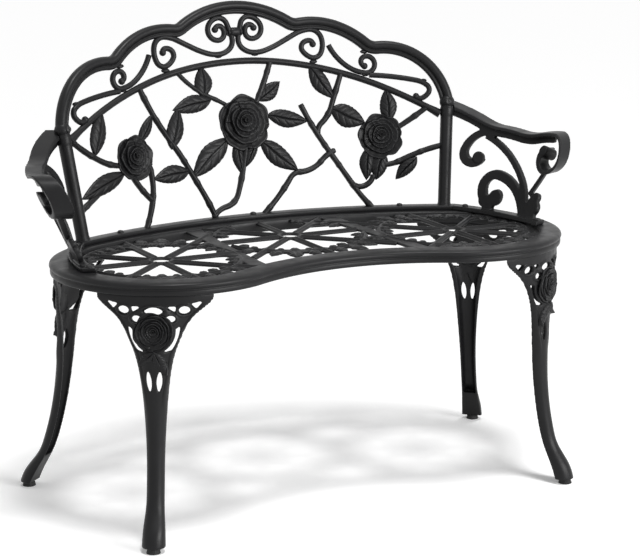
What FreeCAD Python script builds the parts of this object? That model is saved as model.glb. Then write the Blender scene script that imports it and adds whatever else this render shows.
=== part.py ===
"""Cast metal garden bench: kidney-shaped seat, lobed rose back, scrolled arms, four cabriole legs.

Millimetres, +Z up, the sitter looks along -Y. The model is drawn about the line through the
centres of the seat's two round ends, and moved at the end so that the origin lies on the floor
under the middle of the bench's box.
"""
import FreeCAD, Part
import math
import os

Vector = FreeCAD.Vector

# Seat plan: two round ends, a hollowed front edge and a long back arc
SEAT_TOP = 444.0
LOBE_X = 281.0
LOBE_RADIUS = 201.5
FRONT_EDGE = 127.0
BACK_EDGE = 254.5
BACK_RADIUS = 860.0

# Seat rim: an upper bead and a lower band with a groove between them
RIM_WIDTH = 42.0
RIM_HEIGHT = 22.0
BEAD_HEIGHT = 10.0
GROOVE_HEIGHT = 3.0
GROOVE_DEPTH = 3.0
BAND_SETBACK = 1.5
BEAD_ROUND = 4.0

# Seat lattice: three wheels of spokes, each with a hub ring and sprays of leaves
LATTICE_DROP = 4.0
LATTICE_THICK = 9.0
WHEEL_SIDE_X = 290.0
WHEEL_SIDE_Y = 6.0
WHEEL_MID_Y = 95.0
WHEEL_RADIUS = 142.0
WHEEL_RING = 11.0
HUB_RADIUS = 28.0
HUB_BORE = 14.0
SPOKES = 8
SPOKE_WIDTH = 15.0
SPRAY_LENGTH = 38.0
SPRAY_HALF_WIDTH = 8.5
SPRAY_SPREAD = 12.0
DIVIDER_FRONT_X = 160.0
DIVIDER_BACK_X = 136.0
DIVIDER_WIDTH = 30.0

# Back: every piece lies on one reclined, curved surface, drawn as (x, height above the seat)
RECLINE = 12.1
FLANGE_FRONT = 16.0
FLANGE_REAR = 8.0
FLANGE_THICK = 8.0
FLANGE_HALF_SPAN = 384.0
HOOP_RADIUS = 12.5
HOOP_CROWN = 386.0
NOTCH_UPPER = (118.0, 348.0)
LOBE_UPPER_MID = (194.0, 345.0)
NOTCH_LOWER = (262.0, 301.0)
LOBE_LOWER_MID = (353.0, 278.0)
HOOP_SHOULDER = (390.0, 200.0)
HOOP_WAIST = (380.0, 165.0)
HOOP_FOOT_X = 368.0
NOTCH_ROUND = 30.0
RAIL_RADIUS = 6.0
RAIL_CROWN = 287.5
RAIL_PLAN_RADIUS = 700.0
SCROLL_RADIUS = 4.6
COLLAR_RADIUS = 9.0
COLLAR_LENGTH = 30.0
COLLAR_HEIGHT = 341.0
VINE_RADIUS = 5.4
TWIG_RADIUS = 4.2
LEAF_EDGE = 3.0
LEAF_RIB = 7.0
LEAF_FRONT = 3.0

# Arms: a flat rest with a front curl over an open scroll panel, bowed and leaning outwards
ARM_FRONT_REACH = 26.0
ARM_FRONT_ANGLE = -12.0
ARM_BOW = 40.0
ARM_REST_WIDTH = 30.0
ARM_REST_THICK = 6.5
ARM_PANEL_THICK = 10.0
ARM_POST_HEIGHT = 192.0
ARM_BOW_HEIGHT = 160.0
ARM_BASE_WIDTH = 24.0
ARM_BASE_THICK = 8.0
ARM_BASE_FRONT_INSET = 31.0
ARM_BASE_FRONT_ANGLE = -19.7
ARM_BASE_REAR_INSET = 15.0
ARM_BASE_REAR_ANGLE = 56.9
ARM_BASE_BOW = 14.0

# Legs: hollow cabriole castings set radially on the seat's round ends
LEG_FRONT_ANGLE = 30.0
LEG_REAR_ANGLE = 139.5
LEG_REAR_RAKE = 0.1
LEG_INSET = 8.0
LEG_WALL = 6.0
LEG_BOTTOM = 9.0
LEG_SOLID_FOOT = 46.0
LEG_FLANGE_THICK = 6.0
LEG_FLANGE_WIDTH = 30.0
LEG_FLANGE_HALF_ANGLE = 24.0
# Upper leg: (drop below the rim, half width, outset of the crest, depth)
LEG_UPPER = (
    (0.0, 97.0, 0.0, 26.0),
    (12.0, 95.0, 1.0, 26.0),
    (33.0, 70.0, 5.0, 24.0),
    (60.0, 50.0, 10.0, 22.0),
    (100.0, 34.0, 10.0, 20.0),
    (168.0, 22.0, 8.0, 20.0),
)
# Lower leg: (height above the floor, half width, outset of the crest, depth)
LEG_LOWER = (
    (154.0, 14.8, 13.0, 20.0),
    (104.0, 14.2, 22.0, 20.0),
    (64.0, 15.0, 36.0, 21.0),
    (40.0, 16.5, 53.0, 26.0),
    (20.0, 18.0, 63.0, 27.0),
    (LEG_BOTTOM, 19.0, 66.0, 26.0),
)
LEG_ROSE_DROP = 60.0
LEG_ROSE_RADIUS = 33.0

# Levelling feet: a pad on a threaded stud under each leg
PAD_RADIUS = 12.0
PAD_HEIGHT = 8.5
STUD_RADIUS = 4.0
STUD_LENGTH = 20.0
STUD_CLEARANCE = 0.05
FOOT_SETBACK = 15.0

# Bolts that join the castings
BOLT_RADIUS = 3.0
BOLT_HEAD_RADIUS = 6.0
BOLT_HEAD_HEIGHT = 4.0
BOLT_GRIP = 16.0
FLANGE_BOLT_X = 286.0
ARM_BOLT_SHARES = (0.1, 0.94)
LEG_BOLT_SETBACK = 18.0
LEG_BOLT_ANGLE = 15.0

TAN_RECLINE = math.tan(math.radians(RECLINE))
RIM_BOTTOM = SEAT_TOP - RIM_HEIGHT
LATTICE_TOP = SEAT_TOP - LATTICE_DROP
FRONT_RADIUS = (LOBE_X ** 2 + FRONT_EDGE ** 2 - LOBE_RADIUS ** 2) / (2 * (LOBE_RADIUS - FRONT_EDGE))
BACK_CENTRE_Y = BACK_EDGE - BACK_RADIUS
SEAT_BACK_RADIUS = math.hypot(LOBE_X, BACK_CENTRE_Y) + LOBE_RADIUS
LEG_TOP_RADIUS = LOBE_RADIUS - LEG_INSET


def fuse_all(shapes):
    """Join a list of solids into one."""
    if len(shapes) == 1:
        return shapes[0]
    return shapes[0].multiFuse(shapes[1:])


def largest_solids(shape, least_volume=20.0):
    """Keep the solids of a shape that are more than boolean crumbs."""
    kept = [solid for solid in shape.Solids if solid.Volume > least_volume]
    return kept[0] if len(kept) == 1 else Part.makeCompound(kept)


def mirrored(shape):
    """The same piece on the other side of the bench."""
    return shape.mirror(Vector(0, 0, 0), Vector(1, 0, 0))


def arc_edge(start, middle, end):
    """A circular edge through three points, or a line where they are in line."""
    if (middle - start).cross(end - start).Length < 1e-6 * (end - start).Length ** 2:
        return Part.LineSegment(start, end).toShape()
    return Part.Arc(start, middle, end).toShape()


def prism(wire, direction):
    """A solid swept straight from a closed flat wire."""
    return Part.Face(wire).extrude(direction)


# Smooth paths of tangent arcs


def circle_tangent(p0, p1, p2):
    """Direction, at p0, of the circle through three points."""
    a = p1 - p0
    b = p2 - p0
    normal = a.cross(b)
    if normal.Length < 1e-9:
        return a.normalize()
    to_centre = (b.cross(normal) * a.dot(a) * -1 + a.cross(normal) * b.dot(b)) * (-0.5 / normal.dot(normal))
    tangent = normal.cross(to_centre)
    if tangent.dot(a) < 0:
        tangent = tangent * -1
    return tangent.normalize()


def tangent_chain(points, start=None):
    """Arcs through the points, each tangent to the one before.

    Returns the arcs' (start, middle, end) points and the direction at every start, middle and end.
    """
    if start is None:
        start = circle_tangent(*points[:3]) if len(points) > 2 else (points[1] - points[0]).normalize()
    tangent = Vector(start)
    chain = []
    for p0, p1 in zip(points[:-1], points[1:]):
        chord = p1 - p0
        unit = Vector(chord).normalize()
        along = max(-1.0, min(1.0, tangent.dot(unit)))
        side = tangent - unit * along
        middle = p0 + chord * 0.5
        if side.Length > 1e-7:
            middle = middle + side.normalize() * (0.5 * chord.Length * math.tan(0.5 * math.acos(along)))
        end_tangent = unit * (2 * along) - tangent
        chain.append(((p0, middle, p1), (tangent, unit, end_tangent)))
        tangent = end_tangent
    return chain


def tube(points, radius, start=None):
    """A round bar along a smooth path through the points."""
    chain = tangent_chain(points, start)
    path = Part.Wire([arc_edge(*stations) for stations, _ in chain])
    first_point, first_tangent = chain[0][0][0], chain[0][1][0]
    ring = Part.Wire(Part.makeCircle(radius, first_point, first_tangent))
    return path.makePipeShell([ring], True, False)


def ribbon(points, half_widths, start=None):
    """A flat band of changing width along a smooth path, as a closed wire in the XY plane."""
    chain = tangent_chain([Vector(x, y, 0) for x, y in points], start)
    left, right = [], []
    for (stations, tangents), w0, w1 in zip(chain, half_widths[:-1], half_widths[1:]):
        offsets = (w0, 0.5 * (w0 + w1), w1)
        normals = [Vector(-t.y, t.x, 0) for t in tangents]
        left.append([p + n * w for p, n, w in zip(stations, normals, offsets)])
        right.append([p - n * w for p, n, w in zip(stations, normals, offsets)])
    edges = [arc_edge(*trio) for trio in left]
    edges.append(Part.LineSegment(left[-1][2], right[-1][2]).toShape())
    edges += [arc_edge(*reversed(trio)) for trio in reversed(right)]
    edges.append(Part.LineSegment(right[0][0], left[0][0]).toShape())
    return Part.Wire(edges)


def spiral(centre, radius_start, radius_end, angle_start, angle_end, step=60.0):
    """Points of a spiral in (x, height), its radius changing evenly with the angle."""
    count = max(2, math.ceil(abs(angle_end - angle_start) / step))
    points = []
    for index in range(count + 1):
        share = index / count
        angle = math.radians(angle_start + (angle_end - angle_start) * share)
        radius = radius_start + (radius_end - radius_start) * share
        points.append((centre[0] + radius * math.cos(angle), centre[1] + radius * math.sin(angle)))
    return points


# Seat


def circle_crossing(centre_a, radius_a, centre_b, radius_b):
    """The crossing of two plane circles that lies furthest from the origin."""
    gap = centre_b - centre_a
    along = (radius_a ** 2 - radius_b ** 2 + gap.Length ** 2) / (2 * gap.Length)
    across = math.sqrt(radius_a ** 2 - along ** 2)
    unit = Vector(gap).normalize()
    foot = centre_a + unit * along
    normal = Vector(-unit.y, unit.x, 0)
    return max(foot + normal * across, foot - normal * across, key=lambda point: point.Length)


def seat_outline(inset, z):
    """The seat's plan outline, drawn in by an inset, as a closed wire at a height."""
    lobe = Vector(LOBE_X, 0, 0)
    front_centre = Vector(0, -FRONT_EDGE - FRONT_RADIUS, 0)
    back_centre = Vector(0, BACK_CENTRE_Y, 0)
    radius = LOBE_RADIUS - inset
    back_radius = SEAT_BACK_RADIUS - inset
    front_joint = lobe + (front_centre - lobe).normalize() * radius
    corner = back_centre + (lobe - back_centre).normalize() * back_radius
    side = lobe + Vector(radius, 0, 0)
    flip = lambda point: Vector(-point.x, point.y, 0)
    lift = Vector(0, 0, z)
    arcs = (
        (front_joint, side, corner),
        (corner, Vector(0, BACK_CENTRE_Y + back_radius, 0), flip(corner)),
        (flip(corner), flip(side), flip(front_joint)),
        (flip(front_joint), Vector(0, inset - FRONT_EDGE, 0), front_joint),
    )
    return Part.Wire([arc_edge(*[point + lift for point in trio]) for trio in arcs])


def seat_prism(inset, bottom, top):
    """A solid of the seat's outline between two heights."""
    return prism(seat_outline(inset, bottom), Vector(0, 0, top - bottom))


def make_rim():
    """The seat's rim, with its bead rounded at the top and grooved below."""
    bead_bottom = SEAT_TOP - BEAD_HEIGHT
    groove_bottom = bead_bottom - GROOVE_HEIGHT
    bead = seat_prism(0, bead_bottom, SEAT_TOP)
    top_edges = [edge for edge in bead.Edges if edge.BoundBox.ZMin > SEAT_TOP - 0.01]
    bead = bead.makeFillet(BEAD_ROUND, top_edges)
    groove = seat_prism(GROOVE_DEPTH, groove_bottom, bead_bottom)
    band = seat_prism(BAND_SETBACK, RIM_BOTTOM, groove_bottom)
    hole = seat_prism(RIM_WIDTH, RIM_BOTTOM - 1, SEAT_TOP + 1)
    return fuse_all([bead, groove, band]).cut(hole)


def lens(start, end, half_width, z, height):
    """A leaf-shaped plate between two plan points."""
    chord = end - start
    normal = Vector(-chord.y, chord.x, 0).normalize() * half_width
    middle = start + chord * 0.5
    lift = Vector(0, 0, z)
    wire = Part.Wire([
        arc_edge(start + lift, middle + normal + lift, end + lift),
        arc_edge(end + lift, middle - normal + lift, start + lift),
    ])
    return prism(wire, Vector(0, 0, height))


def polar(centre, radius, degrees):
    """A plan point at a radius and angle from a centre."""
    angle = math.radians(degrees)
    return centre + Vector(radius * math.cos(angle), radius * math.sin(angle), 0)


def wheel(centre):
    """One wheel of the seat lattice: hub ring, spokes, outer ring and leaf sprays."""
    bottom = LATTICE_TOP - LATTICE_THICK
    lift = Vector(0, 0, bottom)
    ring = Part.makeCylinder(WHEEL_RADIUS, LATTICE_THICK, centre + lift)
    ring = ring.cut(Part.makeCylinder(WHEEL_RADIUS - WHEEL_RING, LATTICE_THICK, centre + lift))
    hub = Part.makeCylinder(HUB_RADIUS, LATTICE_THICK, centre + lift)
    pieces = [ring]
    reach = WHEEL_RADIUS + 2 * RIM_WIDTH
    pitch = 360.0 / SPOKES
    for index in range(SPOKES):
        spoke = Part.makeBox(reach, SPOKE_WIDTH, LATTICE_THICK, Vector(0, -0.5 * SPOKE_WIDTH, 0))
        spoke.rotate(Vector(0, 0, 0), Vector(0, 0, 1), 90 + index * pitch)
        spoke.translate(centre + lift)
        pieces.append(spoke)
        middle = 90 + (index + 0.5) * pitch
        root = WHEEL_RADIUS - 0.5 * WHEEL_RING
        for turn, length in ((0, SPRAY_LENGTH), (SPRAY_SPREAD, 0.7 * SPRAY_LENGTH), (-SPRAY_SPREAD, 0.7 * SPRAY_LENGTH)):
            base = polar(centre, root, middle + turn)
            tip = polar(centre, root - length, middle + turn * 1.3)
            pieces.append(lens(base, tip, SPRAY_HALF_WIDTH * length / SPRAY_LENGTH, bottom, LATTICE_THICK))
    bore = Part.makeCylinder(HUB_BORE, LATTICE_THICK, centre + lift)
    return fuse_all([hub] + pieces).cut(bore)


def divider_side(shift):
    """The half of space outside the right-hand divider's edge, shifted across it."""
    front = Vector(DIVIDER_FRONT_X, -FRONT_EDGE, 0)
    back = Vector(DIVIDER_BACK_X, BACK_EDGE, 0)
    run = (back - front).normalize()
    outward = Vector(run.y, -run.x, 0)
    corner = front + outward * shift - run * BACK_RADIUS
    far = corner + run * (2 * BACK_RADIUS)
    reach = outward * BACK_RADIUS
    wire = Part.makePolygon([corner, far, far + reach, corner + reach, corner])
    wire.translate(Vector(0, 0, LATTICE_TOP - LATTICE_THICK))
    return prism(wire, Vector(0, 0, LATTICE_THICK))


def make_lattice():
    """The three wheels of the seat, each trimmed to the rim and to the two dividers."""
    bottom = LATTICE_TOP - LATTICE_THICK
    field = seat_prism(RIM_WIDTH, bottom, LATTICE_TOP)
    outside = divider_side(-0.5 * DIVIDER_WIDTH)
    beyond = divider_side(0.5 * DIVIDER_WIDTH)
    plate = outside.cut(beyond)
    right = fuse_all([wheel(Vector(WHEEL_SIDE_X, WHEEL_SIDE_Y, 0)), plate]).common(field).common(outside)
    centre = wheel(Vector(0, WHEEL_MID_Y, 0)).common(field).cut(outside).cut(mirrored(outside))
    return largest_solids(right, 5000), largest_solids(centre, 5000)


# Back


def back_point(x, height, forward=0.0):
    """A point of the back's surface, or in front of it by a distance."""
    sag = BACK_RADIUS - math.sqrt(BACK_RADIUS ** 2 - x ** 2)
    point = Vector(x, BACK_EDGE - sag + height * TAN_RECLINE, SEAT_TOP + height)
    return point + back_normal(x) * forward


def back_normal(x):
    """The direction out of the back's surface towards the sitter."""
    slope = -x / math.sqrt(BACK_RADIUS ** 2 - x ** 2)
    return Vector(slope, -1, TAN_RECLINE).normalize()


def on_back(points, forward=0.0):
    """Points given as (x, height above the seat), laid on the back."""
    return [back_point(x, height, forward) for x, height in points]


def circle_through(p0, p1, p2):
    """Centre and radius of the plane circle through three (x, height) points."""
    a = Vector(p1[0] - p0[0], p1[1] - p0[1], 0)
    b = Vector(p2[0] - p0[0], p2[1] - p0[1], 0)
    twice = 2 * (a.x * b.y - a.y * b.x)
    cx = (b.y * a.dot(a) - a.y * b.dot(b)) / twice
    cy = (a.x * b.dot(b) - b.x * a.dot(a)) / twice
    return Vector(p0[0] + cx, p0[1] + cy, 0), math.hypot(cx, cy)


def notch(centre_a, radius_a, centre_b, radius_b):
    """Start, middle and end of the rounded notch between two lobes of the hoop."""
    pivot = circle_crossing(centre_a, radius_a + NOTCH_ROUND, centre_b, radius_b + NOTCH_ROUND)
    start = pivot + (centre_a - pivot).normalize() * NOTCH_ROUND
    end = pivot + (centre_b - pivot).normalize() * NOTCH_ROUND
    middle = pivot + ((start - pivot) + (end - pivot)).normalize() * NOTCH_ROUND
    return start, middle, end


def arc_middle(centre, radius, start, end):
    """The point half way along a lobe between two of its points."""
    return centre + ((start - centre) + (end - centre)).normalize() * radius


def hoop_points():
    """The right half of the hoop's centre line, from the crown down to its foot."""
    crown = (0.0, HOOP_CROWN)
    flip = (-NOTCH_UPPER[0], NOTCH_UPPER[1])
    top_centre, top_radius = circle_through(NOTCH_UPPER, crown, flip)
    upper_centre, upper_radius = circle_through(NOTCH_UPPER, LOBE_UPPER_MID, NOTCH_LOWER)
    lower_centre, lower_radius = circle_through(NOTCH_LOWER, LOBE_LOWER_MID, HOOP_SHOULDER)
    first = notch(top_centre, top_radius, upper_centre, upper_radius)
    second = notch(upper_centre, upper_radius, lower_centre, lower_radius)
    shoulder = Vector(*HOOP_SHOULDER, 0)
    plan = [Vector(*crown, 0), arc_middle(top_centre, top_radius, Vector(*crown, 0), first[0])]
    plan += [*first, arc_middle(upper_centre, upper_radius, first[2], second[0])]
    plan += [*second, arc_middle(lower_centre, lower_radius, second[2], shoulder)]
    plan += [shoulder, Vector(*HOOP_WAIST, 0), Vector(HOOP_FOOT_X, -FLANGE_THICK, 0)]
    return [(point.x, point.y) for point in plan]


def space_below_back():
    """All the space under the top of the back's flange."""
    below = Part.makeBox(2 * BACK_RADIUS, 2 * BACK_RADIUS, SEAT_TOP + FLANGE_THICK)
    below.translate(Vector(-BACK_RADIUS, -BACK_RADIUS, 0))
    return below


def make_hoop():
    """The lobed hoop of the back, standing on the foot flange."""
    half = tube(on_back(hoop_points()), HOOP_RADIUS, Vector(1, 0, 0))
    hoop = half.fuse(mirrored(half)).removeSplitter()
    return hoop.cut(space_below_back())


def make_flange():
    """The flat arc bar that bolts the back to the seat."""
    half_angle = math.degrees(math.asin((FLANGE_HALF_SPAN) / BACK_RADIUS))
    base = Vector(0, BACK_CENTRE_Y, SEAT_TOP)
    up = Vector(0, 0, 1)
    outer = Part.makeCylinder(BACK_RADIUS + FLANGE_REAR, FLANGE_THICK, base, up, 2 * half_angle)
    inner = Part.makeCylinder(BACK_RADIUS - FLANGE_FRONT, FLANGE_THICK, base, up)
    bar = outer.cut(inner)
    bar.rotate(base, up, 90 - half_angle)
    return bar


def rail_height(x):
    """Height of the mid rail's centre line."""
    return RAIL_CROWN - RAIL_PLAN_RADIUS + math.sqrt(RAIL_PLAN_RADIUS ** 2 - x ** 2)


def make_rail(hoop):
    """The arched mid rail between the hoop's posts."""
    quarters = [HOOP_WAIST[0] * share / 4 for share in range(5)]
    half = tube(on_back([(x, rail_height(x)) for x in quarters]), RAIL_RADIUS, Vector(1, 0, 0))
    rail = half.fuse(mirrored(half)).removeSplitter()
    return largest_solids(rail.cut(hoop), 1000)


def scroll_paths():
    """Centre lines of the right-hand scrollwork above the mid rail."""
    s_scroll = spiral((34, 344), 6.5, 24, 30, 450) + [(14, 356), (8, 338), (6, 326), (14, 310), (35, 302)]
    s_scroll += [(60, 305), (90, 317), (120, 332)] + spiral((148, 309), 31, 7, 90, -330)
    c_scroll = [(184, 310), (194, 292), (218, 268)] + spiral((252, 275), 19, 7, -100, 240)
    d_scroll = [(256, 252), (300, 248), (340, 241), (358, 232), (359, 217), (348, 208), (337, 211)]
    return s_scroll, c_scroll, d_scroll


def make_scrolls(keep_out):
    """The right-hand scrollwork, trimmed where it meets the hoop, rail and collar."""
    bars = []
    for path in scroll_paths():
        bars.append(tube(on_back(path), SCROLL_RADIUS))
        end = back_point(*path[-1])
        bars.append(Part.makeSphere(1.35 * SCROLL_RADIUS, end))
    start = back_point(*scroll_paths()[0][0])
    bars.append(Part.makeSphere(1.35 * SCROLL_RADIUS, start))
    work = fuse_all(bars)
    for piece in keep_out:
        work = work.cut(piece)
    return largest_solids(work)


def make_collar():
    """The barrel that clasps the two middle scrolls."""
    centre = back_point(0, COLLAR_HEIGHT)
    half = 0.5 * COLLAR_LENGTH
    profile = Part.Wire([
        Part.LineSegment(Vector(-half, 0, 0), Vector(-half, 0.75 * COLLAR_RADIUS, 0)).toShape(),
        arc_edge(Vector(-half, 0.75 * COLLAR_RADIUS, 0), Vector(0, COLLAR_RADIUS, 0), Vector(half, 0.75 * COLLAR_RADIUS, 0)),
        Part.LineSegment(Vector(half, 0.75 * COLLAR_RADIUS, 0), Vector(half, 0, 0)).toShape(),
        Part.LineSegment(Vector(half, 0, 0), Vector(-half, 0, 0)).toShape(),
    ])
    barrel = Part.Face(profile).revolve(Vector(0, 0, 0), Vector(1, 0, 0), 360)
    barrel.translate(centre)
    return barrel


def local_frame(origin, along, facing):
    """A placement whose X runs along a direction and whose Z faces as near as it can to another."""
    x_axis = Vector(along).normalize()
    y_axis = facing.cross(x_axis).normalize()
    z_axis = x_axis.cross(y_axis)
    matrix = FreeCAD.Matrix(
        x_axis.x, y_axis.x, z_axis.x, origin.x,
        x_axis.y, y_axis.y, z_axis.y, origin.y,
        x_axis.z, y_axis.z, z_axis.z, origin.z,
    )
    return FreeCAD.Placement(matrix)


def leaf_blank(length, width):
    """A leaf with a raised midrib, from its root at the origin along +X, facing +Z."""
    half = 0.5 * width
    root, tip = Vector(0, 0, -LEAF_EDGE), Vector(length, 0, -LEAF_EDGE)
    outline = Part.Wire([
        arc_edge(root, Vector(0.5 * length, half, -LEAF_EDGE), tip),
        arc_edge(tip, Vector(0.5 * length, -half, -LEAF_EDGE), root),
    ])
    blade = prism(outline, Vector(0, 0, LEAF_EDGE + LEAF_RIB))
    edge = 0.3 * LEAF_RIB
    roof = [(-width, -LEAF_EDGE), (width, -LEAF_EDGE), (width, edge - LEAF_EDGE), (half, edge - LEAF_EDGE)]
    roof += [(0, LEAF_RIB - LEAF_EDGE), (-half, edge - LEAF_EDGE), (-width, edge - LEAF_EDGE)]
    section = Part.makePolygon([Vector(0, y, z) for y, z in roof + roof[:1]])
    return blade.common(prism(section, Vector(length, 0, 0)))


def leaf(root, tip, width):
    """A leaf on the back between two (x, height) points."""
    start = back_point(*root, LEAF_FRONT)
    end = back_point(*tip, LEAF_FRONT)
    blade = leaf_blank((end - start).Length, width)
    blade.Placement = local_frame(start, end - start, back_normal(0.5 * (root[0] + tip[0])))
    return blade


def rose_blank(radius):
    """A layered rose facing +Z: three rings of overlapping petals round a bud, on a flat base."""
    thick = 0.1 * radius
    tiers = (
        (5, 0.56, 0.44, 0.08, 16, 0),
        (5, 0.36, 0.36, 0.22, 24, 36),
        (4, 0.18, 0.27, 0.38, 34, 10),
    )
    petals = [Part.makeCylinder(0.6 * radius, 0.45 * radius, Vector(0, 0, -0.12 * radius))]
    for count, ring, size, height, tilt, turn in tiers:
        for index in range(count):
            petal = Part.makeCylinder(size * radius, thick, Vector(0, 0, 0))
            petal.rotate(Vector(0, 0, 0), Vector(0, 1, 0), -tilt)
            petal.translate(Vector(ring * radius, 0, height * radius))
            petal.rotate(Vector(0, 0, 0), Vector(0, 0, 1), turn + index * 360.0 / count)
            petals.append(petal)
    petals.append(Part.makeSphere(0.16 * radius, Vector(0, 0, 0.48 * radius)))
    return fuse_all(petals)


def make_rose(x, height, radius):
    """A rose on the back."""
    rose = rose_blank(radius)
    rose.Placement = local_frame(back_point(x, height), Vector(1, 0, 0), back_normal(x))
    return rose


# Roses of the back: (x, height, radius)
ROSES = {
    "rose_left": (-240.0, 135.0, 36.0),
    "rose_centre": (0.0, 177.0, 46.0),
    "rose_right": (265.0, 140.0, 38.0),
}

# Vines of the back: stems as (radius, points) and leaves as (root, tip, width)
VINES = {
    "vine_left_upper": (
        [(VINE_RADIUS, ((-372, 182), (-335, 150), (-310, 135), (-265, 122)))],
        [((-322, 146), (-300, 225), 32), ((-222, 157), (-190, 205), 20)],
    ),
    "vine_left_lower": (
        [(VINE_RADIUS, ((-212, 130), (-203, 92), (-207, 50), (-226, -4))),
         (VINE_RADIUS, ((-252, 115), (-230, 78), (-206, 52))),
         (VINE_RADIUS, ((-322, 80), (-342, 69), (-372, 50)))],
        [((-262, 110), (-362, 76), 30)],
    ),
    "vine_left_trunk": (
        [(VINE_RADIUS, ((-214, 258), (-188, 204), (-155, 152), (-125, 105), (-100, 60), (-74, -4)))],
        [((-122, 98), (-200, 90), 30), ((-154, 138), (-132, 212), 32)],
    ),
    "vine_centre_upper": (
        [(TWIG_RADIUS, ((-132, 280), (-92, 242), (-60, 224), (-24, 204))),
         (VINE_RADIUS, ((68, 288), (50, 246), (28, 205)))],
        [((-62, 222), (-145, 208), 30), ((-74, 226), (-76, 282), 34), ((36, 212), (82, 246), 28)],
    ),
    "vine_centre_lower": (
        [(VINE_RADIUS, ((2, 140), (-9, 90), (-24, 46), (-50, 25), (-80, 8)))],
        [((-36, 150), (-116, 84), 38), ((-20, 142), (-12, 80), 22), ((22, 142), (-2, 94), 20)],
    ),
    "vine_right_trunk": (
        [(VINE_RADIUS, ((119, 202), (150, 140), (165, 115), (205, 50), (239, -4))),
         (VINE_RADIUS, ((205, 262), (190, 225), (178, 195), (156, 165), (148, 146))),
         (VINE_RADIUS, ((246, 66), (228, 46), (206, 48)))],
        [((142, 270), (184, 210), 30), ((176, 190), (240, 162), 38), ((240, 118), (232, 56), 26)],
    ),
    "vine_right_branch": (
        [(VINE_RADIUS, ((24, -4), (55, 32), (85, 67), (105, 77), (150, 96), (178, 114)))],
        [((50, 184), (130, 170), 30), ((30, 138), (102, 80), 34)],
    ),
    "vine_right_side": (
        [(VINE_RADIUS, ((290, 148), (322, 168), (356, 192))),
         (VINE_RADIUS, ((378, 120), (330, 105), (300, 92), (262, 84)))],
        [((286, 164), (284, 226), 30), ((328, 98), (286, 56), 24), ((266, 108), (250, 56), 30)],
    ),
}


def make_vines(keep_out):
    """The vines, each trimmed by the pieces it grows from and by the vines before it."""
    taken = list(keep_out)
    vines = {}
    for name, (stems, leaves) in VINES.items():
        pieces = []
        for radius, points in stems:
            pieces.append(tube(on_back(points), radius))
        for root, tip, width in leaves:
            pieces.append(leaf(root, tip, width))
        vine = fuse_all(pieces)
        for piece in taken:
            if vine.BoundBox.intersect(piece.BoundBox):
                vine = vine.cut(piece)
        vines[name] = largest_solids(vine)
        taken.append(vines[name])
    return vines


# Arms


def bowed_arc(start, end, bow):
    """Centre, radius and end angles of a plan arc that bows to the left of its chord."""
    chord = end - start
    normal = Vector(-chord.y, chord.x, 0).normalize()
    radius = ((0.5 * chord.Length) ** 2 + bow ** 2) / (2 * bow)
    centre = start + chord * 0.5 + normal * (bow - radius)
    first = math.atan2(start.y - centre.y, start.x - centre.x)
    last = math.atan2(end.y - centre.y, end.x - centre.x)
    return centre, radius, first, last


def sector_wire(arc, half_width, overrun, z):
    """A band of an arc in plan, run on past both ends, as a closed wire."""
    centre, radius, first, last = arc
    extra = overrun / radius
    angles = (first + extra, 0.5 * (first + last), last - extra)

    def at(reach, angle):
        return centre + Vector(reach * math.cos(angle), reach * math.sin(angle), z)

    outer = [at(radius + half_width, angle) for angle in angles]
    inner = [at(radius - half_width, angle) for angle in reversed(angles)]
    return Part.Wire([
        arc_edge(*outer),
        Part.LineSegment(outer[2], inner[0]).toShape(),
        arc_edge(*inner),
        Part.LineSegment(inner[2], outer[0]).toShape(),
    ])


def arm_ends():
    """Plan arcs of the right arm's top and base."""
    lobe = Vector(LOBE_X, 0, 0)
    post = back_point(HOOP_SHOULDER[0], ARM_POST_HEIGHT)
    top_start = Vector(post.x + 0.5 * HOOP_RADIUS, post.y, 0)
    top_end = polar(lobe, LOBE_RADIUS + ARM_FRONT_REACH, ARM_FRONT_ANGLE)
    base_start = polar(lobe, LOBE_RADIUS - ARM_BASE_REAR_INSET, ARM_BASE_REAR_ANGLE)
    base_end = polar(lobe, LOBE_RADIUS - ARM_BASE_FRONT_INSET, ARM_BASE_FRONT_ANGLE)
    return top_start, top_end, base_start, base_end


def arm_sheet(half_width):
    """The leaning, bowed sheet that the right arm is cut from."""
    top_start, top_end, base_start, base_end = arm_ends()
    overrun = 1.2 * ARM_REST_WIDTH
    rise = (ARM_POST_HEIGHT + ARM_REST_WIDTH) / ARM_BOW_HEIGHT
    high_start = base_start + (top_start - base_start) * rise
    high_end = base_end + (top_end - base_end) * rise
    high_bow = ARM_BASE_BOW + (ARM_BOW - ARM_BASE_BOW) * rise
    low = sector_wire(bowed_arc(base_start, base_end, ARM_BASE_BOW), half_width, overrun, SEAT_TOP)
    high_z = SEAT_TOP + rise * ARM_BOW_HEIGHT
    high = sector_wire(bowed_arc(high_start, high_end, high_bow), half_width, overrun, high_z)
    return Part.makeLoft([low, high], True, True)


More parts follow.
